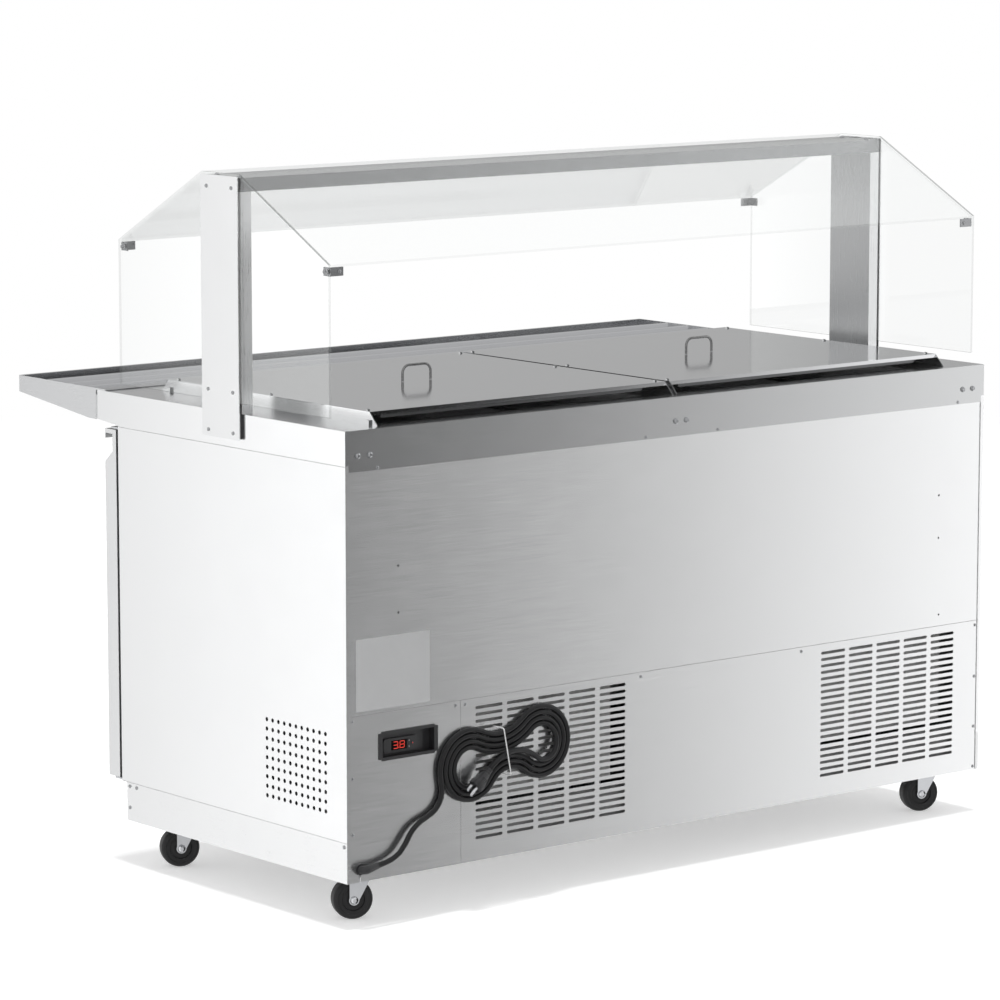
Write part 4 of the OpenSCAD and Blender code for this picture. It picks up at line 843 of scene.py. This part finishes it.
def filter_mesh(name, middle):
    """Ribbed mat: a sheet whose front stands in low upright folds."""
    bm = bmesh.new()
    folds = int(2 * FILTER_HALF / FILTER_RIB)
    front = []
    for i in range(folds + 1):
        x = middle - FILTER_HALF + 2 * FILTER_HALF * i / folds
        front.append((x, FILTER_Y[1] - (FILTER_FOLD if i % 2 else 0.0)))
    section = [(front[0][0], FILTER_Y[0])] + front + [(front[-1][0], FILTER_Y[0])]
    loft(bm, [[Vector((x, y, z)) * MM for x, y in section] for z in FILTER_Z])
    return from_bmesh(name, bm)


for place_name, middle in zip(("filter_left", "filter_right"), GRILLE_X):
    add_piece(place_name, filter_mesh(place_name, middle + FILTER_SHIFT),
              material=FILTER)

HOLE_R = 2.0
HOLE_PLACES = [(638, 613), (638, 533), (-638, 613), (-638, 533), (-641.5, 387.5)]
plates("hole_plugs", [disc(x, z, HOLE_R) for x, z in HOLE_PLACES], PANEL_Y - 0.1, PANEL_Y + 0.2,
       0.15, BLACK)

# Shadow lines where sheets meet
SEAM_W = 0.9
SEAM_PROUD = 0.06
SEAM_INSET = 0.5


def strip(x0, x1, z0, z1):
    return [(x0, z0), (x1, z0), (x1, z1), (x0, z1)]


ACCESS_TOP = 366.0
PANEL_SEAM = 503.5
SHEET_EDGE = 742.4
RIM_LOW = 789.0
BAND_TOP = 150.0
NOTCH_W = 2.2
FLOOR_GAP = 80.0
back_seams = [
    strip(-SHEET_EDGE, SHEET_EDGE, ACCESS_TOP - SEAM_W / 2, ACCESS_TOP + SEAM_W / 2),
    strip(PANEL_SEAM - SEAM_W / 2, PANEL_SEAM + SEAM_W / 2, FLOOR_GAP + SEAM_INSET, ACCESS_TOP),
    strip(GROMMET_X - NOTCH_W / 2, GROMMET_X + NOTCH_W / 2, FLOOR_GAP + SEAM_INSET, GROMMET_Z - 9)]
back_seams += [strip(side * SHEET_EDGE - SEAM_W / 2, side * SHEET_EDGE + SEAM_W / 2,
                     FLOOR_GAP + SEAM_INSET, RIM_LOW) for side in (-1, 1)]
plates("back_seams", back_seams, PANEL_Y - 0.05, PANEL_Y + SEAM_PROUD, 0.03, SEAM)


def thin_bar(bm, low, high):
    loft(bm, [[Vector((x, y, z)) * MM for x, z in strip(low[0], high[0], low[2], high[2])]
              for y in (low[1], high[1])])


END_X = 750.0
seam_bm = bmesh.new()
for side, panel in ((1, "end_panel_vented"), (-1, "end_panel_plain")):
    low, high = ([v / MM for v in corner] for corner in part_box(panel))
    for z in (BAND_TOP, RIM_LOW + 1.0):
        x = side * END_X
        thin_bar(seam_bm, (min(x, x + side * SEAM_PROUD), low[1], z - SEAM_W / 2),
                 (max(x, x + side * SEAM_PROUD), high[1], z + SEAM_W / 2))
add_piece("end_seams", from_bmesh("end_seams", seam_bm), material=SEAM_PALE)

# ------------------------------------------------------------------ light, floor and backdrop

# What metal sees around it: brightness by compass direction, in degrees from +X towards +Y
GLOSS_LEVELS = [
    (-180, 0.45), (-100, 0.50), (-75, 0.95), (-62, 0.35), (-56.5, 0.32), (-53, 1.85),
    (-48.5, 2.25), (-46.5, 0.45), (-40, 0.35), (-28, 1.05), (-14, 1.15), (-4, 0.45), (14, 0.50),
    (30, 1.10), (46, 1.15), (58, 0.55), (76, 0.60), (88, 1.05), (98, 0.75), (108, 0.35),
    (118, 0.0), (130, 0.0), (137, 2.0), (155, 1.70), (166, 0.55), (180, 0.45)]
GLOSS_SCALE = 2.5
CEILING = 1.0
SKY_DIFFUSE = 0.62
OVERHEAD_SINES = (0.25, 0.55)   # sines of the heights between which the ceiling takes over


def surround(g, direction):
    """Brightness that metal sees in a direction: soft bands of light and shade all around."""
    parts = g.node("ShaderNodeSeparateXYZ")
    g.link(direction, parts.inputs[0])
    angle = g.math("ARCTAN2", parts.outputs[1], parts.outputs[0])
    turn = g.spread(angle, -math.pi, math.pi)
    stops = [((a + 180) / 360, level / GLOSS_SCALE) for a, level in GLOSS_LEVELS]
    level = g.math("MULTIPLY", g.ramp(turn, stops), GLOSS_SCALE)
    overhead = g.spread(parts.outputs[2], *OVERHEAD_SINES)
    return g.math("ADD", g.math("MULTIPLY", level, g.math("SUBTRACT", 1.0, overhead)),
                  g.math("MULTIPLY", overhead, CEILING))


world = bpy.data.worlds.new("studio")
bpy.context.scene.world = world
w = Graph(world)
world_dir = w.node("ShaderNodeTexCoord").outputs["Generated"]
world_path = w.node("ShaderNodeLightPath")
seen = w.math("MAXIMUM", world_path.outputs["Is Camera Ray"],
              world_path.outputs["Is Transmission Ray"])
gloss = world_path.outputs["Is Glossy Ray"]
strength = w.math("ADD", w.math("MULTIPLY", seen, 1.0),
                  w.math("MULTIPLY", w.math("SUBTRACT", 1.0, seen),
                         w.math("ADD", w.math("MULTIPLY", gloss, surround(w, world_dir)),
                                w.math("MULTIPLY", w.math("SUBTRACT", 1.0, gloss), SKY_DIFFUSE))))
background = w.node("ShaderNodeBackground")
background.inputs["Color"].default_value = (1.0, 1.0, 1.0, 1.0)
w.link(strength, background.inputs["Strength"])
world_out = w.node("ShaderNodeOutputWorld")
w.link(background.outputs[0], world_out.inputs["Surface"])

FLOOR_HALF = 30.0
FLOOR_GLOW = 0.41
FLOOR_PAINT = 0.80
FLOOR_FADE = (2.5, 6.0)         # distances between which the floor turns into plain white


def floor_material():
    """White floor that keeps the shadow; gloss sees the surround through it."""
    mat = bpy.data.materials.new("floor_white")
    g = Graph(mat)
    place = g.node("ShaderNodeNewGeometry").outputs["Position"]
    path = g.node("ShaderNodeLightPath")
    distance = g.vector("LENGTH", g.scale(place, (1, 1, 0)))
    seen = g.math("MAXIMUM", path.outputs["Is Camera Ray"], path.outputs["Is Transmission Ray"])
    emission = g.node("ShaderNodeEmission")
    g.link(g.math("MULTIPLY", seen, g.spread(distance, *FLOOR_FADE, FLOOR_GLOW, 1.0)),
           emission.inputs["Strength"])
    paint = g.node("ShaderNodeBsdfDiffuse")
    near = g.spread(distance, *FLOOR_FADE, FLOOR_PAINT, 0.0)
    grain = g.noise(place, 40.0, 3.0)
    lit = g.math("MULTIPLY", near, g.spread(grain, 0.3, 0.7, 0.995, 1.005))
    whiteness = g.node("ShaderNodeCombineXYZ")
    for i in range(3):
        g.link(lit, whiteness.inputs[i])
    g.link(whiteness.outputs[0], paint.inputs["Color"])
    both = g.node("ShaderNodeAddShader")
    g.link(emission.outputs[0], both.inputs[0])
    g.link(paint.outputs[0], both.inputs[1])
    through = g.node("ShaderNodeBsdfTransparent")
    choose = g.node("ShaderNodeMixShader")
    g.link(path.outputs["Is Glossy Ray"], choose.inputs[0])
    g.link(both.outputs[0], choose.inputs[1])
    g.link(through.outputs[0], choose.inputs[2])
    g.output(choose.outputs[0])
    return mat


floor_bm = bmesh.new()
floor_corners = [floor_bm.verts.new((x * FLOOR_HALF, y * FLOOR_HALF, 0))
                 for x, y in ((-1, -1), (1, -1), (1, 1), (-1, 1))]
floor_bm.faces.new(floor_corners)
floor_mesh = bpy.data.meshes.new("floor")
floor_bm.to_mesh(floor_mesh)
floor_bm.free()
floor = bpy.data.objects.new("floor", floor_mesh)
bpy.context.scene.collection.objects.link(floor)
floor_mesh.materials.append(floor_material())


def softbox(name, place, aim, width, height, watts):
    data = bpy.data.lights.new(name, "AREA")
    data.shape = "RECTANGLE"
    data.size = width
    data.size_y = height
    data.energy = watts
    lamp = bpy.data.objects.new(name, data)
    lamp.location = place
    lamp.rotation_euler = (Vector(aim) - Vector(place)).to_track_quat("-Z", "Y").to_euler()
    lamp.visible_camera = False
    lamp.visible_glossy = False
    bpy.context.scene.collection.objects.link(lamp)


# Name, place, aim, width, height, watts
SOFTBOXES = [
    ("key_right", (-2.7, 2.7, 1.3), (-0.7, 0.5, 0.5), 1.7, 1.7, 8),
    ("end_fill", (3.4, -3.4, 1.6), (0.75, 0.0, 0.5), 2.4, 2.0, 14)]
for settings in SOFTBOXES:
    softbox(*settings)

# A steady light from straight above draws the footprint's shadow on the floor
OVERHEAD_ENERGY = 1.7
OVERHEAD_ANGLE = math.radians(7.0)
overhead_data = bpy.data.lights.new("overhead", "SUN")
overhead_data.energy = OVERHEAD_ENERGY
overhead_data.angle = OVERHEAD_ANGLE
overhead = bpy.data.objects.new("overhead", overhead_data)
overhead.visible_glossy = False
bpy.context.scene.collection.objects.link(overhead)
# The thin tray slide stands out past the footprint and draws no shadow of its own
for name in ("tray_shelf", "tray_brackets"):
    NODES[name].visible_shadow = False

scene = bpy.context.scene
scene.view_settings.view_transform = "Standard"
